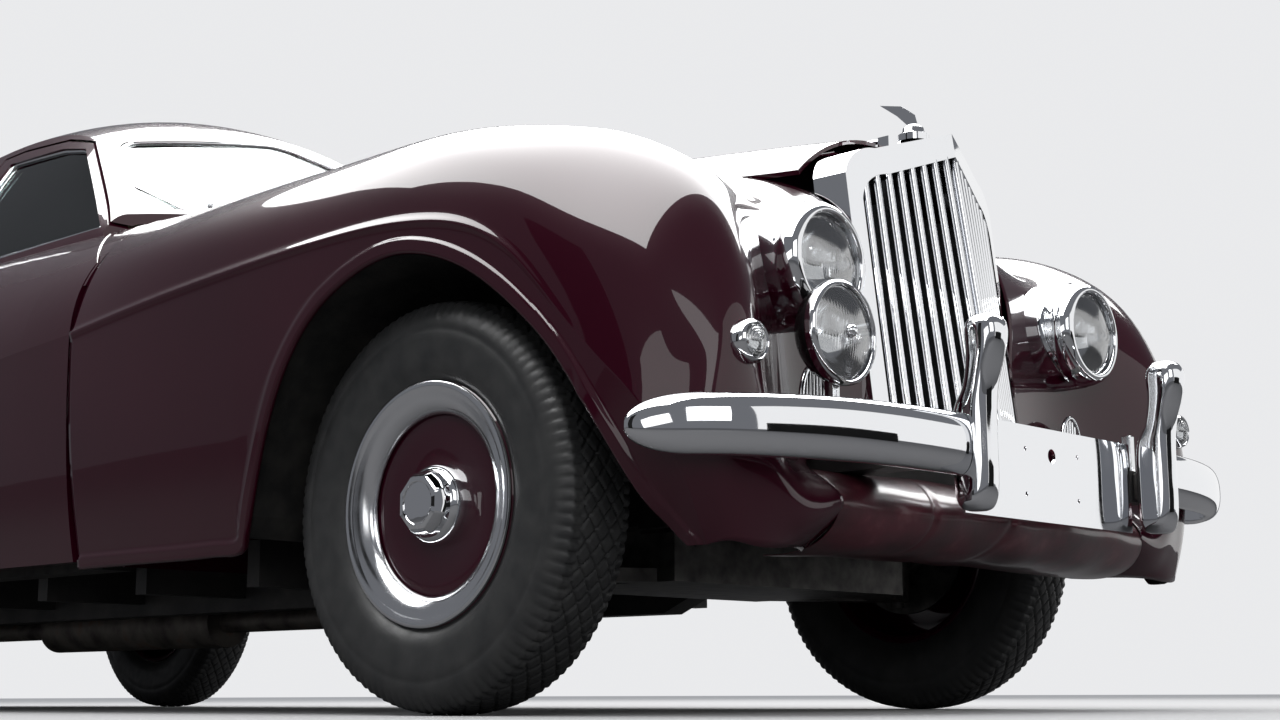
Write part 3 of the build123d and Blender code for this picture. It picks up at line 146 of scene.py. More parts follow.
def lathe(name, profile, origin, axis, material, body, segments=96, closed=True):
    """Turns a (radius, along) profile in millimetres about an axis through origin, in metres."""
    axis = Vector(axis).normalized()
    side = axis.orthogonal().normalized()
    up = axis.cross(side)
    vertices = []
    for r, along in profile:
        for k in range(segments):
            a = 2 * math.pi * k / segments
            spoke = side * math.cos(a) + up * math.sin(a)
            vertices.append(origin + (spoke * r + axis * along) * MM)
    faces = grid_faces(len(profile), segments, closed, True)
    obj = new_object(name, vertices, faces, material, body)
    mesh = bmesh.new()
    mesh.from_mesh(obj.data)
    bmesh.ops.remove_doubles(mesh, verts=mesh.verts, dist=1e-6)
    bmesh.ops.recalc_face_normals(mesh, faces=mesh.faces)
    mesh.to_mesh(obj.data)
    mesh.free()
    obj.data.polygons.foreach_set("use_smooth", [True] * len(obj.data.polygons))
    return obj


def crisp(obj, degrees=32):
    """Edges sharper than this stay sharp under smooth shading."""
    obj.data.set_sharp_from_angle(angle=math.radians(degrees))
    return obj


def tube(name, points, radius, material, body, resolution=8):
    """Round bar through places in metres."""
    curve = bpy.data.curves.new(name, "CURVE")
    curve.dimensions = "3D"
    curve.bevel_depth = radius * MM
    curve.bevel_resolution = 4
    curve.use_fill_caps = True
    line = curve.splines.new("POLY")
    line.points.add(len(points) - 1)
    for target, point in zip(line.points, points):
        target.co = (*point, 1)
    curve.materials.append(material)
    obj = bpy.data.objects.new(name, curve)
    bpy.context.scene.collection.objects.link(obj)
    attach(obj, body)
    return obj


# Materials


def material(name, colour, roughness, metallic=0.0, **sockets):
    """Principled material with its shader, ready for nodes that vary it."""
    made = bpy.data.materials.new(name)
    made.use_nodes = True
    shader = made.node_tree.nodes["Principled BSDF"]
    shader.inputs["Base Color"].default_value = (*colour, 1)
    shader.inputs["Roughness"].default_value = roughness
    shader.inputs["Metallic"].default_value = metallic
    for key, value in sockets.items():
        shader.inputs[key.replace("_", " ")].default_value = value
    return made


def noise_ramp(made, scale, socket, stops, detail=4.0, distortion=0.0):
    """Drives a shader socket with noise through a ramp of (position, value or colour) stops."""
    tree = made.node_tree
    noise = tree.nodes.new("ShaderNodeTexNoise")
    place_of = tree.nodes.new("ShaderNodeNewGeometry")
    ramp = tree.nodes.new("ShaderNodeValToRGB")
    noise.inputs["Scale"].default_value = scale
    noise.inputs["Detail"].default_value = detail
    noise.inputs["Distortion"].default_value = distortion
    while len(ramp.color_ramp.elements) < len(stops):
        ramp.color_ramp.elements.new(0.5)
    for element, (position, value) in zip(ramp.color_ramp.elements, stops):
        element.position = position
        element.color = (*value, 1) if isinstance(value, tuple) else (value, value, value, 1)
    tree.links.new(place_of.outputs["Position"], noise.inputs["Vector"])
    tree.links.new(noise.outputs["Fac"], ramp.inputs["Fac"])
    tree.links.new(ramp.outputs["Color"], tree.nodes["Principled BSDF"].inputs[socket])
    return noise


def bump(made, scale, strength, distance=0.001, detail=5.0):
    tree = made.node_tree
    noise = tree.nodes.new("ShaderNodeTexNoise")
    place_of = tree.nodes.new("ShaderNodeNewGeometry")
    relief = tree.nodes.new("ShaderNodeBump")
    noise.inputs["Scale"].default_value = scale
    noise.inputs["Detail"].default_value = detail
    relief.inputs["Strength"].default_value = strength
    relief.inputs["Distance"].default_value = distance
    tree.links.new(place_of.outputs["Position"], noise.inputs["Vector"])
    tree.links.new(noise.outputs["Fac"], relief.inputs["Height"])
    tree.links.new(relief.outputs["Normal"], tree.nodes["Principled BSDF"].inputs["Normal"])
    return made


MAROON = (0.042, 0.0015, 0.0105)
paint = material("maroon_paint", MAROON, 0.34, 0.0, Coat_Weight=1.0, Coat_Roughness=0.025, Specular_IOR_Level=0.08)
noise_ramp(paint, 2.2, "Base Color", [(0.3, (0.038, 0.0013, 0.0095)), (0.7, (0.046, 0.0017, 0.0115))])
scuffed = material("scuffed_maroon", MAROON, 0.4, 0.0, Coat_Weight=0.6, Coat_Roughness=0.12)
noise_ramp(scuffed, 14.0, "Base Color", [(0.38, (0.05, 0.006, 0.012)), (0.6, (0.1, 0.012, 0.024)), (0.72, (0.17, 0.05, 0.06))], 8.0)
bump(scuffed, 40.0, 0.25, 0.002)
chrome = material("chrome", (0.86, 0.87, 0.89), 0.035, 1.0)
noise_ramp(chrome, 9.0, "Roughness", [(0.35, 0.02), (0.75, 0.07)])
satin_chrome = material("satin_chrome", (0.8, 0.81, 0.83), 0.16, 1.0)
noise_ramp(satin_chrome, 30.0, "Roughness", [(0.3, 0.12), (0.8, 0.24)])
mirror = material("lamp_reflector", (0.92, 0.93, 0.94), 0.06, 1.0)
noise_ramp(mirror, 20.0, "Roughness", [(0.3, 0.04), (0.8, 0.1)])
underseal = material("underseal", (0.018, 0.017, 0.016), 0.8)
noise_ramp(underseal, 18.0, "Base Color", [(0.35, (0.01, 0.01, 0.01)), (0.8, (0.04, 0.037, 0.033))], 8.0)
bump(underseal, 60.0, 0.5, 0.003)
frame_black = material("frame_black", (0.03, 0.03, 0.03), 0.55)
noise_ramp(frame_black, 11.0, "Base Color", [(0.3, (0.018, 0.018, 0.019)), (0.62, (0.045, 0.043, 0.041)), (0.8, (0.09, 0.08, 0.07))], 8.0)
bump(frame_black, 45.0, 0.35, 0.002)
dull_steel = material("dull_steel", (0.13, 0.125, 0.12), 0.45, 0.7)
noise_ramp(dull_steel, 25.0, "Base Color", [(0.3, (0.06, 0.058, 0.056)), (0.7, (0.2, 0.19, 0.18))], 8.0)
bump(dull_steel, 70.0, 0.3, 0.001)
exhaust_steel = material("exhaust_steel", (0.2, 0.17, 0.15), 0.55, 0.6)
noise_ramp(exhaust_steel, 16.0, "Base Color", [(0.3, (0.07, 0.06, 0.055)), (0.6, (0.2, 0.18, 0.16)), (0.8, (0.2, 0.1, 0.06))], 8.0)
cast_iron = material("cast_iron", (0.05, 0.05, 0.05), 0.7, 0.3)
bump(cast_iron, 90.0, 0.5, 0.002)
noise_ramp(cast_iron, 20.0, "Base Color", [(0.3, (0.03, 0.03, 0.03)), (0.8, (0.08, 0.075, 0.07))])
rubber = material("tyre_rubber", (0.03, 0.03, 0.031), 0.42)
noise_ramp(rubber, 26.0, "Base Color", [(0.3, (0.034, 0.035, 0.036)), (0.8, (0.06, 0.06, 0.059))], 7.0)
noise_ramp(rubber, 40.0, "Roughness", [(0.3, 0.38), (0.8, 0.6)])
bump(rubber, 180.0, 0.12, 0.001)
seal_black = material("seal_rubber", (0.012, 0.012, 0.012), 0.5)
noise_ramp(seal_black, 40.0, "Roughness", [(0.3, 0.4), (0.8, 0.6)])
veneer = material("veneer", (0.2, 0.09, 0.035), 0.2, 0.0, Coat_Weight=0.8, Coat_Roughness=0.05)
noise_ramp(veneer, 7.0, "Base Color", [(0.35, (0.1, 0.04, 0.014)), (0.65, (0.3, 0.15, 0.06))], 9.0, 3.0)
hide = material("beige_hide", (0.5, 0.4, 0.28), 0.45)
noise_ramp(hide, 8.0, "Base Color", [(0.3, (0.42, 0.33, 0.22)), (0.75, (0.56, 0.46, 0.33))], 7.0)
bump(hide, 260.0, 0.25, 0.0008)
trim_cloth = material("beige_trim", (0.42, 0.35, 0.26), 0.8)
noise_ramp(trim_cloth, 300.0, "Base Color", [(0.3, (0.36, 0.3, 0.22)), (0.8, (0.48, 0.41, 0.31))])
black_gloss = material("black_gloss", (0.012, 0.012, 0.012), 0.12)
noise_ramp(black_gloss, 30.0, "Roughness", [(0.3, 0.08), (0.8, 0.2)])
red_lens = material("red_lens", (0.45, 0.01, 0.01), 0.1, 0.0, Coat_Weight=1.0)
noise_ramp(red_lens, 60.0, "Base Color", [(0.3, (0.35, 0.006, 0.006)), (0.8, (0.55, 0.02, 0.02))])


def glass_material(name, tint, see_through, roughness=0.01, least=0.05):
    """Clear glass that still lets the light behind it through."""
    made = material(name, tint, roughness, 0.0, IOR=1.5, Transmission_Weight=0.0)
    tree = made.node_tree
    shader = tree.nodes["Principled BSDF"]
    clear = tree.nodes.new("ShaderNodeBsdfTransparent")
    clear.inputs["Color"].default_value = (*see_through, 1)
    fresnel = tree.nodes.new("ShaderNodeFresnel")
    fresnel.inputs["IOR"].default_value = 1.5
    spread = tree.nodes.new("ShaderNodeMath")
    spread.operation = "MULTIPLY_ADD"
    spread.inputs[1].default_value = 1.0
    spread.inputs[2].default_value = least
    mix = tree.nodes.new("ShaderNodeMixShader")
    tree.links.new(fresnel.outputs["Fac"], spread.inputs[0])
    tree.links.new(spread.outputs["Value"], mix.inputs["Fac"])
    tree.links.new(clear.outputs["BSDF"], mix.inputs[1])
    tree.links.new(shader.outputs["BSDF"], mix.inputs[2])
    tree.links.new(mix.outputs["Shader"], tree.nodes["Material Output"].inputs["Surface"])
    shader.inputs["Specular IOR Level"].default_value = 1.0
    shader.inputs["Metallic"].default_value = 1.0
    return made


window_glass = glass_material("window_glass", (0.9, 0.93, 0.93), (0.8, 0.86, 0.84))
lens_glass = glass_material("lens_glass", (0.95, 0.96, 0.97), (0.96, 0.97, 0.98), 0.12, 0.28)

CAD_MATERIALS = {
    "body_paint": paint, "wheel_paint": paint, "chassis_black": frame_black, "suspension_steel": dull_steel,
    "exhaust_steel": exhaust_steel, "engine_iron": cast_iron, "chrome": chrome, "glass": window_glass,
    "tail_red": red_lens, "tyre": rubber, "leather": hide, "wood": veneer, "black_plastic": black_gloss,
}
for part in frame["record"]["subparts"]:
    node = nodes[part["node"]]
    node.data.materials.clear()
    node.data.materials.append(CAD_MATERIALS[part["material_slot"]])
for name in ("wheelhouses", "floor_pan"):
    nodes[name].data.materials[0] = underseal
nodes["lamp_lenses"].data.materials[0] = lens_glass
nodes["front_apron"].data.materials[0] = scuffed

# Front wings. Each row is a line over the skin: arch lip, widest line, shoulder, crown, valley and inner edge,
# as (station, x, z). The first rows go round the nose, the others straight across.
WING_ROWS = [
    [(-575, 752, 262), (-604, 748, 262), (-634, 732, 268), (-650, 695, 262), (-648, 600, 264), (-596, 499, 265)],
    [(-565, 756, 272), (-606, 764, 290), (-645, 752, 335), (-668, 697, 385), (-680, 600, 336), (-684, 499, 338)],
    [(-550, 768, 293), (-603, 788, 345), (-642, 784, 430), (-666, 700, 520), (-628, 590, 440), (-610, 497, 408)],
    [(-528, 794, 328), (-588, 808, 400), (-626, 790, 540), (-650, 699, 665), (-564, 520, 600), (-556, 254, 530)],
    [(-505, 814, 372), (-552, 832, 470), (-588, 800, 650), (-606, 697, 788), (-550, 498, 745), (-548, 256, 745)],
    [(-474, 832, 432), (-500, 844, 528), (-526, 818, 745), (-532, 697, 890), (-508, 488, 865), (-505, 264, 898)],
    [(-425, 850, 515), (-425, 858, 606), (-425, 836, 820), (-425, 698, 961), (-425, 502, 917), (-425, 275, 961)],
    [(-300, 866, 660), (-300, 879, 752), (-300, 849, 905), (-300, 695, 1007), (-300, 505, 965), (-300, 296, 1000)],
    [(-100, 880, 780), (-100, 893, 838), (-100, 862, 965), (-100, 692, 1043), (-100, 520, 1008), (-100, 345, 1022)],
    [(150, 884, 745), (150, 897, 849), (150, 862, 972), (150, 700, 1050), (150, 555, 1031), (150, 406, 1043)],
    [(450, 846, 303), (450, 897, 836), (450, 858, 966), (450, 712, 1050), (450, 597, 1047), (450, 481, 1066)],
    [(750, 846, 303), (750, 896, 815), (750, 852, 955), (750, 715, 1052), (750, 636, 1064), (750, 556, 1083)],
    [(1030, 846, 303), (1030, 893, 789), (1030, 838, 942), (1030, 716, 1062), (1030, 668, 1082), (1030, 620, 1098)],
]
WING_FOOT = [
    (-540, 757, 262), (-440, 777, 265), (-300, 803, 275), (-100, 825, 285), (150, 838, 295), (450, 846, 303),
    (1030, 846, 303),
]
ARCH_LIP = [
    (-425, 515), (-384, 580), (-302, 668), (-204, 742), (-102, 785), (-9, 798), (114, 772), (226, 711), (325, 595),
    (390, 470), (425, 390), (446, 335), (456, 312), (475, 304), (520, 303), (600, 303), (800, 303), (1030, 303),
]
LIP_LINE = smooth_curve(ARCH_LIP, 400)
FIRST_CROSS_ROW = 6
WING_ALONG = 260
LOW_SHARES = np.concatenate([
    np.linspace(0, 0.08, 10, endpoint=False), np.linspace(0.08, 0.9, 16, endpoint=False),
    np.linspace(0.9, 1, 8, endpoint=False),
])
HIGH_SHARES = np.concatenate([np.linspace(0, 0.04, 9, endpoint=False), np.linspace(0.04, 1, 56)])
LIP_ROLL = [(16, -3), (15, 4), (9, 8), (3, 7), (0, 3)]
ARCH_MIDDLE = (0, 350)
SWAGE_HEIGHT, SWAGE_HALF = 5.0, 9.0
BEAD_HEIGHT, BEAD_WIDTH = 5.0, 24.0
WING_SKIN = 2.5


def lip_distance(skin):
    """How far each skin point is from the border of the arch and sill, seen from the side."""
    border = np.array([(s, z) for s, _, z in (row[0] for row in WING_ROWS[:FIRST_CROSS_ROW])] + list(map(tuple, LIP_LINE[::4])), float)
    nearest = np.full(len(skin), 1e9)
    for a, b in zip(border, border[1:]):
        run = b - a
        share = np.clip(((skin[:, [0, 2]] - a) @ run) / (run @ run), 0, 1)
        nearest = np.minimum(nearest, np.linalg.norm(skin[:, [0, 2]] - a - share[:, None] * run, axis=1))
    return nearest


def wing_low_line(row_at, widest, lip):
    """Outer skin's points from the arch lip up to the widest line."""
    if row_at < FIRST_CROSS_ROW:
        return lip + (widest - lip) * LOW_SHARES[:, None]
    stations, foot_x, foot_z = zip(*WING_FOOT)
    foot = np.array([np.interp(widest[0], stations, foot_x), np.interp(widest[0], stations, foot_z)])
    lip_z = np.interp(widest[0], LIP_LINE[:, 0], LIP_LINE[:, 1])
    first = (lip_z - foot[1]) / (widest[2] - foot[1])
    share = first + (1 - first) * LOW_SHARES
    x = foot[0] + (widest[1] - foot[0]) * share + 14.0 * np.sin(math.pi * share)
    z = foot[1] + (widest[2] - foot[1]) * share
    return np.stack([np.full_like(x, widest[0]), x, z], axis=1)


def wing_grid():
    """Rows of (station, x, z) on the left wing's outer skin, from nose foot to door and from lip to bonnet."""
    rows = np.array(WING_ROWS, float)
    steps = np.linalg.norm(np.diff(rows[:, 1:], axis=0), axis=2).mean(axis=1)
    along = np.concatenate([[0], np.cumsum(steps)])
    slopes = natural_spline(along, rows)
    grid = []
    for at in np.linspace(0, along[-1], WING_ALONG):
        line = spline_at(along, rows, slopes, [at])[0]
        row_at = np.interp(at, along, range(len(rows)))
        low = wing_low_line(row_at, line[1], line[0])
        knots = np.concatenate([[0], np.cumsum(np.linalg.norm(np.diff(line[1:], axis=0), axis=1))])
        high = spline_at(knots, line[1:], natural_spline(knots, line[1:]), HIGH_SHARES * knots[-1])
        fade = np.clip((line[1][0] + 420) / 260, 0, 1)
        skin = np.concatenate([low, high])
        reach = np.linalg.norm(skin - line[1], axis=1)
        skin[:, 1] += SWAGE_HEIGHT * fade * np.exp(-((reach / SWAGE_HALF) ** 2))
        from_lip = lip_distance(skin)
        bead = BEAD_HEIGHT * np.clip((BEAD_WIDTH - from_lip) / 6.0, 0, 1) ** 2
        skin[:, 1] += bead
        lip = skin[0]
        inward = np.array([ARCH_MIDDLE[0] - lip[0], ARCH_MIDDLE[1] - lip[2]]) if lip[0] < 440 else np.array([0, -1.0])
        inward = inward / np.linalg.norm(inward)
        roll = [lip + (inward[0] * b, -a, inward[1] * b) for a, b in LIP_ROLL]
        grid.append(np.concatenate([roll, skin]))
    return np.array(grid)


def build_wing(side, side_name):
    grid = wing_grid()
    vertices = [place(side * x, s, z) for s, x, z in grid.reshape(-1, 3)]
    faces = grid_faces(*grid.shape[:2])
    obj = new_object(f"wing_skin_{side_name}", vertices, flip(faces) if side > 0 else faces, paint, "body")
    obj.data.materials.append(underseal)
    modifier(obj, "SOLIDIFY", thickness=WING_SKIN * MM, offset=-1.0, material_offset=1, material_offset_rim=0)
    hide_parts(f"front_wing_{side_name}")
    return obj


for side, side_name in ((1, "left"), (-1, "right")):
    build_wing(side, side_name)

# Tyres, wheels and trims, as (radius, out) profiles about each wheel's axis
TYRE_SIDE = [
    (206.5, 60), (208, 66), (216, 69), (224, 74), (236, 81.5), (252, 85), (270, 86.5), (290, 87), (304, 86.6), (308, 85.2),
    (312, 86), (322, 85), (332, 82.5), (340, 79), (346, 75.5), (351, 71.5), (354.5, 68),
]
TREAD_HALF, TREAD_DROP = 64.0, 6.5
TREAD_COLUMNS, TYRE_TURN = 41, 630
LATTICE, LATTICE_LEAN = 54, 0.8
GROOVE_DEPTH, GROOVE_HALF = 5.0, 2.4


def tread_radius(angle, out):
    """Radius of the tread, with its crossing grooves and the notches at its shoulders."""
    crown = TYRE_R - TREAD_DROP * (abs(out) / TREAD_HALF) ** 2.6
    pitch = 2 * math.pi * TYRE_R / LATTICE
    run = angle * TYRE_R
    depth = 0.0
    for lean in (1, -1):
        phase = (run + lean * out / LATTICE_LEAN) % pitch
        away = min(phase, pitch - phase) * LATTICE_LEAN
        depth = max(depth, math.exp(-((away / GROOVE_HALF) ** 4)))
    if abs(out) > 46:
        notch = (run % (pitch / 2)) / (pitch / 2)
        depth = max(depth * 0.3, (0.5 + 0.5 * math.cos(2 * math.pi * notch)) ** 3)
    return crown - GROOVE_DEPTH * depth


def build_tyre():
    """The tyre's mesh about +X, shared by all four."""
    vertices = []
    tread = np.linspace(-TREAD_HALF, TREAD_HALF, TREAD_COLUMNS)
    profile_out = [-o for _, o in TYRE_SIDE] + list(tread) + [o for _, o in reversed(TYRE_SIDE)]
    first, last = len(TYRE_SIDE), len(TYRE_SIDE) + TREAD_COLUMNS
    for k in range(TYRE_TURN):
        angle = 2 * math.pi * k / TYRE_TURN
        notch = (0.5 + 0.5 * math.cos(2 * LATTICE * angle)) ** 3
        for j, out in enumerate(profile_out):
            if first <= j < last:
                r = tread_radius(angle, out)
            else:
                r, edge = TYRE_SIDE[j] if j < first else TYRE_SIDE[len(profile_out) - 1 - j]
                if r > 330:
                    out = math.copysign(edge - 4.0 * notch * (r - 330) / 25, out)
            vertices.append((out * MM, r * math.cos(angle) * MM, r * math.sin(angle) * MM))
    faces = grid_faces(TYRE_TURN, len(profile_out), True, True)
    mesh = bpy.data.meshes.new("tyre_mesh")
    mesh.from_pydata(vertices, [], flip(faces))
    mesh.polygons.foreach_set("use_smooth", [True] * len(mesh.polygons))
    mesh.materials.append(rubber)
    mesh.set_sharp_from_angle(angle=math.radians(50))
    return mesh


RIM = [
    (214, 72), (217, 70), (217, 66), (212, 62), (207, 60), (203, 58), (200, 52), (198, 46), (190, 42), (176, 41),
    (160, 46), (140, 48), (120, 47), (96, 44), (74, 42), (60, 38), (31, 36), (31, 20), (60, 22), (90, 30), (170, 28),
    (196, 30), (200, -20), (200, -66), (206, -72), (214, -73), (217, -70), (214, -67), (208, -64), (207, -20), (207, 50),
]
TRIM_RING = [
    (160, 50), (161, 56), (166, 63), (176, 70), (188, 74.5), (197, 76), (200, 77), (206, 80), (212, 80.5), (216, 79), (217, 76),
    (215, 77), (206, 77), (199, 73), (188, 70), (170, 60),
]
HUB_CAP = [
    (0, 93.5), (34, 93.5), (36.5, 93), (37.5, 95), (39, 95.6), (47, 94), (55, 84), (58, 76), (60, 70), (66, 66), (70, 58), (72, 46),
    (73, 41), (70, 40), (60, 60), (0, 84),
]
OCTAGON_FROM, OCTAGON_TO = 36.0, 61.0


def eight_sided(obj, middle, side):
    """Presses the middle of a hub cap to eight flats."""
    for vertex in obj.data.vertices:
        arm = vertex.co - middle
        r = math.hypot(arm.y, arm.z) / MM
        if OCTAGON_FROM < r < OCTAGON_TO:
            turn = (math.atan2(arm.z, arm.y) + math.pi / 8) % (math.pi / 4) - math.pi / 8
            flat = math.cos(math.pi / 8) / math.cos(turn) * 1.045
            share = min(1.0, (r - OCTAGON_FROM) / 8, (OCTAGON_TO - r) / 4)
            scale = 1 + (flat - 1) * share
            vertex.co.y = middle.y + arm.y * scale
            vertex.co.z = middle.z + arm.z * scale
tyre_mesh = build_tyre()
wheel_places = [
    (f"{axle}_{side_name}", side, side * track / 2, station)
    for axle, track, station in (("front", FRONT_TRACK, 0.0), ("rear", REAR_TRACK, WHEELBASE))
    for side, side_name in ((1, "left"), (-1, "right"))
]
for corner, side, x, station in wheel_places:
    body = f"wheel_{corner}"
    middle = place(x, station, TYRE_R)
    tyre = bpy.data.objects.new(f"tyre_tread_{corner}", tyre_mesh)
    bpy.context.scene.collection.objects.link(tyre)
    tyre.location = middle
    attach(tyre, body)
    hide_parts(f"tyre_{corner}")
    rim = crisp(lathe(f"rim_{corner}", RIM, middle, (side, 0, 0), paint, body), 40)
    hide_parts(f"wheel_{corner}")
    ring = crisp(lathe(f"trim_ring_{corner}", TRIM_RING, middle, (side, 0, 0), satin_chrome, body), 50)
    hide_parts(f"wheel_trim_{corner}")
    cap = crisp(lathe(f"hub_cap_{corner}", HUB_CAP, middle, (side, 0, 0), chrome, body, closed=False), 30)
    eight_sided(cap, middle, side)

# Lamps, turned about lines along the car: profiles are (radius, station)
HEADLAMP = (446.0, 759.0)
FOG = (-500.0, 620.0)
SIDELAMP = (713.0, 579.0)
HEAD_RIM = [
    (112, -520), (111, -560), (109, -592), (106, -598), (107.5, -602), (106, -612), (102, -624), (96, -632), (89, -635),
    (85, -633), (83.5, -628), (84, -618), (100, -600), (106, -520),
]
HEAD_BOWL = [(84, -622), (80, -610), (70, -594), (55, -578), (38, -567), (22, -561), (0, -559)]
HEAD_LENS_EDGE, HEAD_LENS_RISE = 84.0, 20.0
FOG_SHELL = [
    (84, -690), (86.5, -686), (87, -678), (85, -671), (81, -664), (74, -650), (62, -638), (46, -629), (26, -623.5), (0, -622),
]
FOG_RIM = [
    (78, -692), (79, -697), (82, -699), (86, -697), (88.5, -692), (89, -684), (87.5, -678), (86, -682), (84, -689),
]
FOG_BOWL = [(78, -690), (70, -670), (54, -650), (36, -640), (0, -634)]
FOG_BOSS = [(0, -717), (5, -716.5), (9, -714), (11, -709), (12, -704), (9, -700), (0, -699)]
SIDE_SHELL = [
    (34, -640), (36, -664), (35.5, -672), (33, -679), (29.5, -682), (27, -680), (26.5, -674), (30, -664), (30, -640),
]
SIDE_LENS_EDGE, SIDE_LENS_RISE = 27.0, 10.0


def turned_lamp(name, profile, x, z, skin, slot_name, closed=True):
    axis_origin = place(x, 0, z)
    obj = crisp(lathe(name, profile, axis_origin, (0, 1, 0), skin, "body", 80, closed), 50)
    return obj


def ribbed_lens(name, x, z, edge, face, rise, ribs, rings=36, turn=120, round_ribs=False):
    """Domed glass with pressed ribs, fine in the middle of its width."""
    vertices = []
    for i in range(rings):
        r = edge * i / (rings - 1)
        for k in range(turn):
            a = 2 * math.pi * k / turn
            px, pz = r * math.cos(a), r * math.sin(a)
            dome = rise * (1 - (r / edge) ** 2)
            wave = math.sin(2 * math.pi * (r if round_ribs else px) / ribs)
            band = 1.0 if round_ribs else 0.6 + 0.4 * math.cos(2 * math.pi * pz / (edge * 0.8))
            vertices.append(place(x + px, face - dome - 0.7 * wave * band * min(1.0, (edge - r) / 6), z + pz))
    faces = flip(grid_faces(rings, turn, False, True))
    obj = new_object(name, vertices, faces, lens_glass, "body")
    return obj


lamp_pieces = []
for side, side_name in ((1, "left"), (-1, "right")):
    x, z = side * HEADLAMP[0], HEADLAMP[1]
    rim = turned_lamp(f"headlamp_rim_{side_name}", HEAD_RIM, x, z, chrome, "chrome")
    lamp_pieces.append(rim)
    turned_lamp(f"headlamp_bowl_{side_name}", HEAD_BOWL, x, z, mirror, "chrome", False)
    lens = ribbed_lens(f"headlamp_lens_{side_name}", x, z, HEAD_LENS_EDGE, -622, HEAD_LENS_RISE, 5.5)
    if side > 0:
        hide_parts("headlamps")
        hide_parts("lamp_lenses")
    x, z = side * SIDELAMP[0], SIDELAMP[1]
    shell = turned_lamp(f"sidelamp_shell_{side_name}", SIDE_SHELL, x, z, chrome, "chrome")
    if side > 0:
        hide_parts("sidelamps")
    turned_lamp(f"sidelamp_bowl_{side_name}", [(28, -674), (20, -668), (0, -662)], x, z, mirror, "chrome", False)
    ribbed_lens(f"sidelamp_lens_{side_name}", x, z, SIDE_LENS_EDGE, -679, SIDE_LENS_RISE, 4.5, 30, 80, True)
fog_shell = turned_lamp("fog_lamp_shell", FOG_SHELL, *FOG, black_gloss, "black_plastic", False)
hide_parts("fog_lamp")
turned_lamp("fog_lamp_rim", FOG_RIM, *FOG, chrome, "chrome")
turned_lamp("fog_lamp_bowl", FOG_BOWL, *FOG, mirror, "chrome", False)
turned_lamp("fog_lamp_boss", FOG_BOSS, *FOG, chrome, "chrome", False)
ribbed_lens("fog_lamp_lens", *FOG, 79.0, -691, 15.0, 6.5)


def box_bar(name, low, high, skin, body="body", round_by=2.5):
    """Rounded bar between two corners given as (x, station, z)."""
    (x0, s0, z0), (x1, s1, z1) = low, high
    corners = [(x, s, z) for z in (z0, z1) for x, s in ((x0, s0), (x1, s0), (x1, s1), (x0, s1))]
    faces = [(3, 2, 1, 0), (4, 5, 6, 7), (0, 1, 5, 4), (1, 2, 6, 5), (2, 3, 7, 6), (3, 0, 4, 7)]
    obj = new_object(name, [place(*c) for c in corners], faces, skin, body)
    modifier(obj, "BEVEL", width=round_by * MM, segments=3, limit_method="ANGLE")
    return obj


for side, side_name in ((1, "left"), (-1, "right")):
    inner, outer = sorted((side * 491.0, side * 509.0))
    box_bar(f"fog_bracket_{side_name}", (inner, -676, 440), (outer, -656, 548), satin_chrome)
    inner, outer = sorted((side * 432.3, side * 509.0))
    box_bar(f"fog_bracket_arm_{side_name}", (inner, -676, 440), (outer, -656, 452), satin_chrome)

# Bumper blades: a crowned bar along a bent line in plan
FRONT_BLADE = [(342.3, -802), (412, -799), (481, -792.8), (550, -782), (615, -765.7), (700, -730), (776, -681), (836, -618), (876, -548)]
REAR_BLADE = [(-815, 4193), (-415, 4289), (0, 4322), (415, 4289), (815, 4193)]
BLADE_HALF, BLADE_CROWN, BLADE_BACK = 52.0, 30.0, 7.0
BLADE_STEPS, BLADE_TIP = 110, 0.2


def build_blade(name, path, middle_z, outward, side, tips, skin_node, lean=0.0):
    """A crowned blade that rounds off at its tips."""
    line = smooth_curve(path, BLADE_STEPS)
    tangent = np.gradient(line, axis=0)
    tangent /= np.linalg.norm(tangent, axis=1)[:, None]
    normal = np.stack([-tangent[:, 1], tangent[:, 0]], axis=1) * outward
    loop = []
    for k in range(40):
        a = 2 * math.pi * k / 40
        across, up = math.cos(a), math.sin(a)
        out = BLADE_CROWN * abs(across) ** 0.75 if across > 0 else -BLADE_BACK * abs(across) ** 0.4
        loop.append((out, BLADE_HALF * math.copysign(abs(up) ** 0.85, up)))
    vertices = []
    for i in range(BLADE_STEPS):
        t = i / (BLADE_STEPS - 1)
        near = min(1.0, (1 - t) / BLADE_TIP if "end" in tips else 1.0, t / BLADE_TIP if "start" in tips else 1.0)
        size = max(0.02, math.sqrt(1 - (1 - near) ** 2.6))
        for out, up in loop:
            x, s = line[i] + normal[i] * out * (0.35 + 0.65 * size) * min(1.0, size * 3)
            vertices.append(place(side * x, s, middle_z + up * size * (1.0 - 0.08 * t * ("end" in tips))))
    faces = grid_faces(BLADE_STEPS, len(loop), False, True)
    last = (BLADE_STEPS - 1) * len(loop)
    faces += [tuple(reversed(range(len(loop)))), tuple(range(last, last + len(loop)))]
    obj = new_object(name, vertices, faces, chrome, "body")
    mesh = bmesh.new()
    mesh.from_mesh(obj.data)
    bmesh.ops.recalc_face_normals(mesh, faces=mesh.faces)
    mesh.to_mesh(obj.data)
    mesh.free()
    crisp(obj, 60)
    if skin_node:
        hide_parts(skin_node)
    return obj


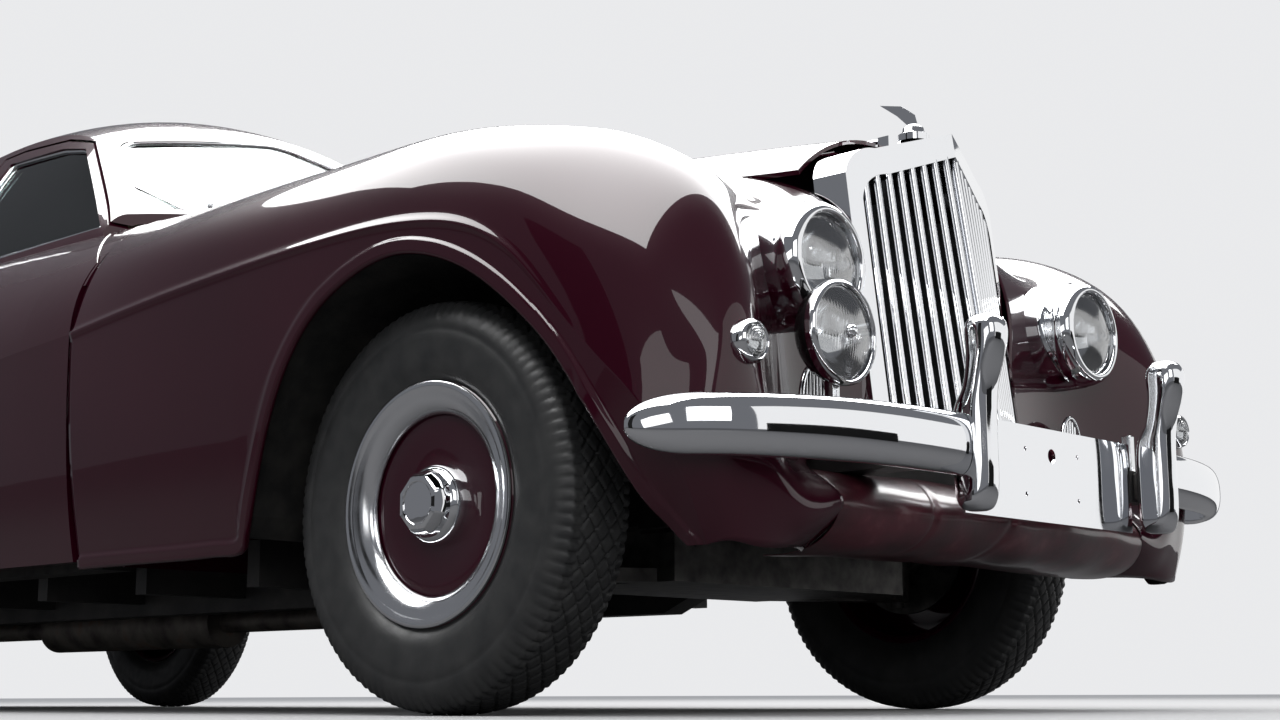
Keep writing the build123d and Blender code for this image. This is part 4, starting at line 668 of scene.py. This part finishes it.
blade_right = build_blade("front_blade_right", FRONT_BLADE, 440.0, -1, -1, ("end",), "front_bumper")
build_blade("front_blade_left", FRONT_BLADE, 440.0, -1, 1, ("end",), None)
build_blade("rear_blade", REAR_BLADE, 450.0, 1, 1, ("start", "end"), "rear_bumper")
for side, side_name in ((1, "left"), (-1, "right")):
    inner, outer = sorted((side * 372.0, side * 428.0))
    box_bar(f"bumper_iron_{side_name}", (inner, -798, 405), (outer, -740.3, 455), dull_steel)
    box_bar(f"rear_bumper_iron_{side_name}", (inner, 4140, 425), (outer, 4280, 465), dull_steel)

# Overriders: level slices as (height, front, back, half width), in millimetres
FRONT_OVERRIDER = [
    (330, -836, -806, 14), (334, -845, -796, 21), (345, -852, -788, 25.5), (370, -857, -783, 27), (420, -858, -782, 27),
    (480, -858, -783, 27), (510, -859, -790, 27), (530, -861, -802, 26.5), (550, -865, -808, 26.5), (575, -873, -812, 27.5),
    (600, -880, -813, 29), (622, -883, -812, 30), (638, -881, -814, 29), (648, -875, -820, 25), (654, -866, -828, 17),
    (656, -854, -840, 5),
]
REAR_OVERRIDER = [
    (378, 4330, 4352, 12), (382, 4318, 4358, 20), (392, 4312, 4361, 24), (430, 4310, 4364, 26), (490, 4312, 4365, 26),
    (540, 4320, 4366, 26), (575, 4318, 4365, 27), (592, 4320, 4361, 23), (600, 4330, 4352, 12),
]


def build_overrider(name, slices, x):
    table = np.array(slices, float)
    knots = np.concatenate([[0], np.cumsum(np.linalg.norm(np.diff(table[:, :3], axis=0), axis=1))])
    dense = spline_at(knots, table, natural_spline(knots, table), np.linspace(0, knots[-1], 90))
    turn = 48
    vertices = []
    for z, front, back, half in dense:
        middle, reach = (front + back) / 2, abs(back - front) / 2
        for k in range(turn):
            a = 2 * math.pi * k / turn
            c, s = math.cos(a), math.sin(a)
            vertices.append(place(
                x + half * math.copysign(abs(s) ** 0.8, s), middle + reach * math.copysign(abs(c) ** 0.8, c), z,
            ))
    faces = grid_faces(len(dense), turn, False, True)
    faces += [tuple(reversed(range(turn))), tuple(range((len(dense) - 1) * turn, len(dense) * turn))]
    obj = new_object(name, vertices, faces, chrome, "body")
    mesh = bmesh.new()
    mesh.from_mesh(obj.data)
    bmesh.ops.recalc_face_normals(mesh, faces=mesh.faces)
    mesh.to_mesh(obj.data)
    mesh.free()
    crisp(obj, 70)
    return obj


front_overrider = build_overrider("front_overrider_left", FRONT_OVERRIDER, 315.0)
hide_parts("overriders_front")
build_overrider("front_overrider_right", FRONT_OVERRIDER, -315.0)
build_overrider("rear_overrider_left", REAR_OVERRIDER, 315.0)
build_overrider("rear_overrider_right", REAR_OVERRIDER, -315.0)

# Front apron: battered sheet with a torn top edge
APRON = [(-560, 402), (-640, 401), (-700, 372), (-721, 338), (-700, 291), (-640, 266), (-560, 267)]
APRON_HALF, APRON_BACK, APRON_SKIN = 505.0, 40.0, 2.0
APRON_ACROSS, APRON_DOWN = 260, 70


def build_apron():
    rng = np.random.default_rng(7)
    outline = smooth_curve(APRON, APRON_DOWN)
    waves = [(rng.uniform(3, 22), rng.uniform(2, 14), rng.uniform(0, 6.28), rng.uniform(0, 6.28)) for _ in range(14)]
    vertices, torn = [], []
    for i in range(APRON_ACROSS):
        across = -1 + 2 * i / (APRON_ACROSS - 1)
        battered = 0.35 + 0.65 * np.clip(0.4 - across, 0, 1)
        edge = 0.10 + 0.05 * math.sin(across * 9) + 0.035 * math.sin(across * 31 + 1) + 0.02 * math.sin(across * 77)
        for j in range(APRON_DOWN):
            down = j / (APRON_DOWN - 1)
            s, z = outline[j]
            push = sum(math.sin(a * across + p) * math.sin(b * down + q) for a, b, p, q in waves)
            crease = 5.0 * math.exp(-(((across + 0.42 + 0.25 * down) / 0.012) ** 2))
            crease += 6.0 * math.exp(-(((across - 0.1 + 0.4 * down) / 0.02) ** 2))
            s += APRON_BACK * abs(across) ** 2.2 + (1.5 * push + crease) * battered * math.sin(math.pi * min(1, down + 0.1))
            vertices.append(place(APRON_HALF * across, s, z + 0.8 * push * battered))
            torn.append(down < edge * (0.3 + 0.7 * battered))
    faces = [f for f in grid_faces(APRON_ACROSS, APRON_DOWN) if not any(torn[v] for v in f)]
    obj = new_object("battered_apron", vertices, faces, scuffed, "body")
    modifier(obj, "SOLIDIFY", thickness=APRON_SKIN * MM, offset=0.0)
    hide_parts("front_apron")


build_apron()

# Radiator grille: half-round upright slats that follow the pointed shell
SHELL_LOW, SHELL_HIGH, SHELL_HALF, SHELL_BORDER = 490.0, 1090.0, 246.0, 30.0
SHELL_RIDGE, SHELL_CORNER = (-683.0, -592.0), (-573.0, -505.0)
SLATS_A_SIDE, SLAT_R, SLAT_STEPS = 8, 8.6, 24


def shell_face(x, z):
    """Station of the shell's face at a place."""
    up = (z - SHELL_LOW) / (SHELL_HIGH - SHELL_LOW)
    ridge = SHELL_RIDGE[0] + (SHELL_RIDGE[1] - SHELL_RIDGE[0]) * up
    corner = SHELL_CORNER[0] + (SHELL_CORNER[1] - SHELL_CORNER[0]) * up
    return ridge + (corner - ridge) * abs(x) / SHELL_HALF


def grille_top(x):
    return np.interp(abs(x), (0, 155.5, 201, 216), (1042, 986, 964, 930))


def build_slats():
    vertices, faces = [], []
    pitch = (SHELL_HALF - SHELL_BORDER) / (SLATS_A_SIDE + 0.25)
    places = [side * pitch * (k + 0.62) for side in (-1, 1) for k in range(SLATS_A_SIDE)]
    for x in places:
        base = len(vertices)
        lean = math.atan2(SHELL_CORNER[0] - SHELL_RIDGE[0], SHELL_HALF) * math.copysign(1, x)
        for z in np.linspace(SHELL_LOW + SHELL_BORDER - 4, grille_top(x) + 4, SLAT_STEPS):
            s = shell_face(x, z) + 10
            for k in range(13):
                a = math.pi * k / 12
                px, ps = SLAT_R * math.cos(a), -SLAT_R * 1.15 * math.sin(a)
                vertices.append(place(x + px * math.cos(lean) - ps * math.sin(lean), s + ps * math.cos(lean) + px * math.sin(lean), z))
            for px in (-1, 1):
                vertices.append(place(x + px * SLAT_R * math.cos(lean), s + 14 + px * SLAT_R * math.sin(lean), z))
        faces += [tuple(base + v for v in f) for f in grid_faces(SLAT_STEPS, 15, False, True)]
    obj = new_object("grille_slats", vertices, flip(faces), chrome, "body")
    crisp(obj, 50)
    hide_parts("radiator_grille")


build_slats()

# Leather seats: crowned, pleated pads


def build_pad(name, origin, along, up, width, length, thick, pleats, skin=hide):
    """Pad on a plane: origin is its low middle as (x, station, z), along its length's direction in (station, z)."""
    nu, nv = 60, 40
    top, bottom = [], []
    for i in range(nu):
        for j in range(nv):
            u, v = -1 + 2 * i / (nu - 1), -1 + 2 * j / (nv - 1)
            edge = ((1 - abs(u) ** 7) * (1 - abs(v) ** 6)) ** 0.34
            pleat = abs(math.sin(math.pi * pleats * (u + 1) / 2)) ** 0.5 if abs(u) < 0.86 and abs(v) < 0.82 else 0.9
            crown = 1 - 0.12 * u * u - 0.14 * v * v
            for rows, height in ((top, thick * edge * crown + 9.0 * (pleat - 1) * edge), (bottom, -0.12 * thick * edge)):
                x = origin[0] + u * width / 2
                run = length * (v + 1) / 2
                s = origin[1] + along[0] * run + up[0] * height
                z = origin[2] + along[1] * run + up[1] * height
                rows.append(place(x, s, z))
    faces = grid_faces(nu, nv)
    faces += [tuple(v + nu * nv for v in reversed(f)) for f in faces]
    obj = new_object(name, top + bottom, faces, skin, "body")
    mesh = bmesh.new()
    mesh.from_mesh(obj.data)
    bmesh.ops.remove_doubles(mesh, verts=mesh.verts, dist=2e-4)
    bmesh.ops.recalc_face_normals(mesh, faces=mesh.faces)
    mesh.to_mesh(obj.data)
    mesh.free()
    return obj


LEAN = (0.342, 0.94)
for side, side_name in ((1, "left"), (-1, "right")):
    x = side * 355.0
    cushion = build_pad(f"front_cushion_{side_name}", (x, 1725, 480), (0.995, -0.05), (0.05, 1.0), 480, 450, 120, 6)
    if side > 0:
        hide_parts("front_seats")
    build_pad(f"front_squab_{side_name}", (x, 2225, 540), LEAN, (-0.94, 0.342), 480, 480, 78, 6)
    build_pad(f"front_squab_back_{side_name}", (x, 2232, 540), LEAN, (0.94, -0.342), 478, 480, 48, 1, trim_cloth)
    build_pad(f"front_seat_base_{side_name}", (x, 1740, 375), (1, 0), (0, 1.0), 440, 430, 110, 1, trim_cloth)
rear_cushion = build_pad("rear_cushion", (0, 2600, 625), (0.998, 0.0), (0.0, 1.0), 1040, 430, 120, 10)
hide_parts("rear_seat")
build_pad("rear_squab", (0, 3050, 690), (0.4, 0.916), (-0.916, 0.4), 1040, 370, 70, 10)

# Headlining and rear quarter trims of the cabin
ROOF_LINE = [
    (1560, 530, 1396, 1522), (1700, 508, 1450, 1570), (1950, 496, 1478, 1600), (2350, 490, 1452, 1577),
    (2800, 470, 1355, 1488), (3150, 446, 1240, 1370),
]
LINING_DROP, LINING_IN = 66.0, 62.0


def build_headlining():
    rows = np.array(ROOF_LINE, float)
    dense = spline_at(rows[:, 0], rows, natural_spline(rows[:, 0], rows), np.linspace(rows[0, 0], rows[-1, 0], 50))
    vertices = []
    for s, half, side_z, top_z in dense:
        for u in np.linspace(-1, 1, 41):
            rise = (1 - abs(u) ** 2.4)
            vertices.append(place((half - LINING_IN) * u, s, side_z + (top_z - side_z) * rise - LINING_DROP + 1.5 * math.cos(s / 42)))
    lining = new_object("headlining", vertices, grid_faces(len(dense), 41), trim_cloth, "body")


build_headlining()
for side, side_name in ((1, "left"), (-1, "right")):
    inner, outer = sorted((side * 690.0, side * 740.0))
    box_bar(f"rear_quarter_trim_{side_name}", (inner, 2300, 700), (outer, 3150, 965), hide, "body", 12.0)

# Bright frames round the glass, laid on the CAD panes by rays
WINDSCREEN = [(0, 1222), (600, 1168), (488, 1402), (0, 1500), (-488, 1402), (-600, 1168)]
REAR_WINDOW = [(0, 1370), (380, 1352), (360, 1470), (0, 1512), (-360, 1470), (-380, 1352)]
DOOR_WINDOW = [(1266, 1098), (1600, 1386), (1725, 1412), (1990, 1424), (2047, 1098)]
QUARTER_WINDOW = [(2168, 1098), (2112, 1418), (2400, 1396), (2600, 1320), (2700, 1200), (2722, 1098)]


def rounded_outline(corners, radius, inset, per_side=16):
    """Closed outline with rounded corners, a little inside the given one."""
    corners = np.array(corners, float)
    middle = corners.mean(axis=0)
    n = len(corners)
    points = []
    for i in range(n):
        before, here, after = corners[i - 1], corners[i], corners[(i + 1) % n]
        a, b = before - here, after - here
        r = min(radius, np.linalg.norm(a) / 2.2, np.linalg.norm(b) / 2.2)
        start, end = here + a / np.linalg.norm(a) * r, here + b / np.linalg.norm(b) * r
        for t in np.linspace(0, 1, 7):
            points.append((1 - t) ** 2 * start + 2 * t * (1 - t) * here + t * t * end)
        stop = after + (here - after) / np.linalg.norm(b) * min(radius, np.linalg.norm(b) / 2.2)
        points += [end + (stop - end) * t for t in np.linspace(0, 1, per_side)[1:-1]]
    points = np.array(points)
    inward = middle - points
    return points + inward / np.linalg.norm(inward, axis=1)[:, None] * inset


def frame_on_glass(name, node_name, outline, direction, radius, body, proud=2.0):
    """Chrome bead where rays along a direction meet a pane's outline."""
    node = nodes[node_name]
    inverse = node.matrix_world.inverted()
    flow = Vector(direction)
    points = []
    for start in outline:
        origin = start - flow * 3.0
        hit, where, _, _ = node.ray_cast(inverse @ origin, (inverse.to_3x3() @ flow).normalized())
        if hit:
            points.append(node.matrix_world @ where - flow * proud * MM)
    if len(points) < 8:
        print("few hits for", name, len(points))
        return
    points.append(points[0])
    bead = tube(name, points, radius, chrome, body)


screen = [place(x, 1500, z) for x, z in rounded_outline(WINDSCREEN, 60, 4)]
frame_on_glass("windscreen_bead", "windscreen", screen, (0, 1, 0), 6.5, "body")
screen = [place(x, 3000, z) for x, z in rounded_outline(REAR_WINDOW, 40, 4)]
frame_on_glass("rear_window_bead", "rear_window", screen, (0, -1, 0), 5.5, "body")
for side, side_name in ((1, "left"), (-1, "right")):
    pane = [place(0, s, z) for s, z in rounded_outline(DOOR_WINDOW, 22, 5)]
    frame_on_glass(f"door_window_bead_{side_name}", f"door_glass_{side_name}", pane, (-side, 0, 0), 5.0, f"door_{side_name}")
    pane = [place(0, s, z) for s, z in rounded_outline(QUARTER_WINDOW, 22, 5)]
    frame_on_glass(f"quarter_window_bead_{side_name}", "quarter_windows", pane, (-side, 0, 0), 5.0, "body")

# Small fittings: horn grilles, wiper spindles and arms, door handles
HORN = (430.0, -576.0, 520.0)
HORN_HALF = (36.0, 66.0)
HORN_BARS = 7


def build_horn_grille(side, side_name):
    x, s, z = side * HORN[0], HORN[1], HORN[2]
    half_x, half_z = HORN_HALF
    ring = [
        place(x + half_x * math.cos(a), s, z + half_z * math.sin(a)) for a in np.linspace(0, 2 * math.pi, 49)
    ]
    tube(f"horn_rim_{side_name}", ring, 5.0, chrome, "body")
    for k in range(HORN_BARS):
        across = -0.8 + 1.6 * k / (HORN_BARS - 1)
        reach = half_z * math.sqrt(1 - across * across)
        bar = [place(x + half_x * across, s + 1, z + reach * t) for t in np.linspace(-1, 1, 9)]
        tube(f"horn_bar_{side_name}_{k}", bar, 2.4, chrome, "body")
    back = [place(x, s + 4, z)] + [p + Vector((0, 4 * MM, 0)) for p in ring[:-1]]
    faces = [(0, k + 1, (k + 1) % 48 + 1) for k in range(48)]
    new_object(f"horn_back_{side_name}", back, faces, underseal, "body")


WIPER_FOOT = (430.0, 1212.0, 1150.0)
WIPER_PROFILE = [(0, 46), (5, 45), (7, 40), (7, 26), (10, 24), (11, 14), (15, 10), (16, 0), (0, -6)]
DOOR_HANDLE = [(868, 2052, 838), (892, 2056, 838), (899, 2072, 838), (900, 2120, 837), (897, 2168, 835), (884, 2186, 834)]
for side, side_name in ((1, "left"), (-1, "right")):
    build_horn_grille(side, side_name)
    foot = place(side * WIPER_FOOT[0], WIPER_FOOT[1], WIPER_FOOT[2])
    spindle = crisp(lathe(f"wiper_spindle_{side_name}", WIPER_PROFILE, foot, (side * 0.25, -0.25, 1), satin_chrome, "body", 32, False))
    arm = [place(side * x, s, z) for x, s, z in ((433, 1206, 1186), (380, 1216, 1206), (250, 1250, 1240), (160, 1262, 1255))]
    tube(f"wiper_arm_{side_name}", arm, 3.0, satin_chrome, "body")
    handle = [place(side * x, s, z) for x, s, z in smooth_curve(DOOR_HANDLE, 30)]
    tube(f"door_handle_{side_name}", handle, 7.0, chrome, f"door_{side_name}")

# CAD panels keep their shape, with softened edges
BEVELLED = {
    "radiator_shell": 5.0, "bumper_plate": 1.0, "bonnet_left": 1.0, "bonnet_right": 1.0, "door_left": 1.5, "door_right": 1.5,
    "boot_lid": 1.5, "scuttle": 1.0, "radiator_cap": 2.0, "chassis_frame": 2.0, "front_suspension": 1.5, "dashboard": 4.0,
}
for name, width in BEVELLED.items():
    modifier(nodes[name], "BEVEL", width=width * MM, segments=3, limit_method="ANGLE", angle_limit=math.radians(40))
for name in ("radiator_shell", "bumper_plate", "radiator_cap"):
    nodes[name].data.materials[0] = chrome

# Stage: pale floor, soft overhead light, camera at floor level
CAMERA_AT = (-2.966, -4.233, 0.035)
CAMERA_YAW, CAMERA_PITCH, CAMERA_ROLL = 47.60, 10.08, -0.19
CAMERA_LENS = 52.93


def stage_plane(name, size, at, normal, skin):
    mesh = bpy.data.meshes.new(name)
    half_x, half_y = size[0] / 2, size[1] / 2
    mesh.from_pydata([(-half_x, -half_y, 0), (half_x, -half_y, 0), (half_x, half_y, 0), (-half_x, half_y, 0)], [], [(0, 1, 2, 3)])
    mesh.materials.append(skin)
    obj = bpy.data.objects.new(name, mesh)
    bpy.context.scene.collection.objects.link(obj)
    obj.location = at
    obj.rotation_mode = "QUATERNION"
    obj.rotation_quaternion = Vector((0, 0, 1)).rotation_difference(Vector(normal))
    return obj


floor_skin = material("floor_white", (0.88, 0.88, 0.88), 0.9, Specular_IOR_Level=0.0)
noise_ramp(floor_skin, 0.6, "Base Color", [(0.3, (0.86, 0.86, 0.865)), (0.8, (0.9, 0.9, 0.905))])


def seen_only_by_camera(made, other_colour):
    """Keeps the material's own colour for the camera and gives other rays a darker one."""
    tree = made.node_tree
    paths = tree.nodes.new("ShaderNodeLightPath")
    other = tree.nodes.new("ShaderNodeBsdfDiffuse")
    other.inputs["Color"].default_value = (*other_colour, 1)
    mix = tree.nodes.new("ShaderNodeMixShader")
    tree.links.new(paths.outputs["Is Camera Ray"], mix.inputs["Fac"])
    tree.links.new(other.outputs["BSDF"], mix.inputs[1])
    tree.links.new(tree.nodes["Principled BSDF"].outputs["BSDF"], mix.inputs[2])
    tree.links.new(mix.outputs["Shader"], tree.nodes["Material Output"].inputs["Surface"])


seen_only_by_camera(floor_skin, (0.2, 0.2, 0.205))
stage_plane("floor", (60, 60), (0, 0, 0), (0, 0, 1), floor_skin)
card_black = material("card_black", (0.01, 0.01, 0.01), 0.9)
noise_ramp(card_black, 1.0, "Base Color", [(0.3, (0.008, 0.008, 0.008)), (0.8, (0.014, 0.014, 0.014))])
for name, size, at, normal in (
    ("dark_card_side", (7.0, 1.6), (-7.5, 0.5, 0.9), (1, 0, 0)),
    ("dark_card_front", (7.0, 1.3), (1.0, -9.5, 0.7), (0, 1, 0)),
):
    card = stage_plane(name, size, at, normal, card_black)
    card.visible_camera = False


def area_light(name, at, towards, size, power):
    lamp = bpy.data.lights.new(name, "AREA")
    lamp.shape = "RECTANGLE"
    lamp.size, lamp.size_y = size
    lamp.energy = power
    obj = bpy.data.objects.new(name, lamp)
    bpy.context.scene.collection.objects.link(obj)
    obj.location = at
    obj.rotation_mode = "QUATERNION"
    obj.rotation_quaternion = (Vector(towards) - Vector(at)).to_track_quat("-Z", "Y")
    return obj


def glowing_card(name, size, at, normal, in_reflections, as_light):
    """Soft box that reflections see brighter than what it lights."""
    skin = material(name + "_glow", (0.0, 0.0, 0.0), 1.0)
    tree = skin.node_tree
    paths = tree.nodes.new("ShaderNodeLightPath")
    mix = tree.nodes.new("ShaderNodeMixShader")
    tree.links.new(paths.outputs["Is Glossy Ray"], mix.inputs["Fac"])
    for at_input, strength in ((1, as_light), (2, in_reflections)):
        glow = tree.nodes.new("ShaderNodeEmission")
        glow.inputs["Strength"].default_value = strength
        tree.links.new(glow.outputs["Emission"], mix.inputs[at_input])
    tree.links.new(mix.outputs["Shader"], tree.nodes["Material Output"].inputs["Surface"])
    card = stage_plane(name, size, at, normal, skin)
    card.visible_camera = False
    card.visible_shadow = False
    return card


glowing_card("overhead_card", (7.0, 11.0), (0.5, 0.0, 4.6), (0, 0, -1), 9.0, 1.5)
glowing_card("front_card", (17.0, 6.0), (5.0, -11.0, 3.4), (0, 1, 0), 0.95, 0.8)
glowing_card("far_card", (6.0, 16.0), (14.5, -6.0, 3.2), (-1, 0, 0), 0.95, 0.3)
glowing_card("side_card", (1.6, 3.0), (-7.0, -3.4, 1.6), (1, 0.3, 0), 1.6, 1.0)
area_light("front_fill", (-4.5, -6.5, 2.6), (0, -1.2, 0.6), (2.6, 2.6), 45)

ROOM_LIGHT = (0.42, 0.43, 0.45)
ROOM_IN_REFLECTIONS = (0.16, 0.165, 0.18)
world = bpy.data.worlds.new("pale_room")
bpy.context.scene.world = world
world.use_nodes = True
tree = world.node_tree
tree.nodes.clear()
paths = tree.nodes.new("ShaderNodeLightPath")
pale, soft = tree.nodes.new("ShaderNodeBackground"), tree.nodes.new("ShaderNodeBackground")
pale.inputs["Color"].default_value = (0.82, 0.825, 0.84, 1)
soft.inputs["Color"].default_value = (*ROOM_LIGHT, 1)
either = tree.nodes.new("ShaderNodeMath")
either.operation = "MAXIMUM"
mix, out = tree.nodes.new("ShaderNodeMixShader"), tree.nodes.new("ShaderNodeOutputWorld")
tree.links.new(paths.outputs["Is Camera Ray"], either.inputs[0])
tree.links.new(paths.outputs["Is Transmission Ray"], either.inputs[1])
tree.links.new(either.outputs["Value"], mix.inputs["Fac"])
dim = tree.nodes.new("ShaderNodeBackground")
dim.inputs["Color"].default_value = (*ROOM_IN_REFLECTIONS, 1)
unseen = tree.nodes.new("ShaderNodeMixShader")
tree.links.new(paths.outputs["Is Glossy Ray"], unseen.inputs["Fac"])
tree.links.new(soft.outputs["Background"], unseen.inputs[1])
tree.links.new(dim.outputs["Background"], unseen.inputs[2])
tree.links.new(unseen.outputs["Shader"], mix.inputs[1])
tree.links.new(pale.outputs["Background"], mix.inputs[2])
tree.links.new(mix.outputs["Shader"], out.inputs["Surface"])

yaw, pitch, roll = (math.radians(a) for a in (CAMERA_YAW, CAMERA_PITCH, CAMERA_ROLL))
ahead = Vector((math.sin(yaw) * math.cos(pitch), math.cos(yaw) * math.cos(pitch), math.sin(pitch)))
camera_data = bpy.data.cameras.new("photo_camera")
camera_data.lens, camera_data.sensor_width = CAMERA_LENS, 36.0
camera_data.clip_start, camera_data.clip_end = 0.02, 200
camera = bpy.data.objects.new("photo_camera", camera_data)
bpy.context.scene.collection.objects.link(camera)
camera.location = CAMERA_AT
camera.rotation_mode = "QUATERNION"
camera.rotation_quaternion = ahead.to_track_quat("-Z", "Y") @ Quaternion((0, 0, 1), roll)
bpy.context.scene.camera = camera
bpy.context.scene.view_settings.view_transform = "Standard"
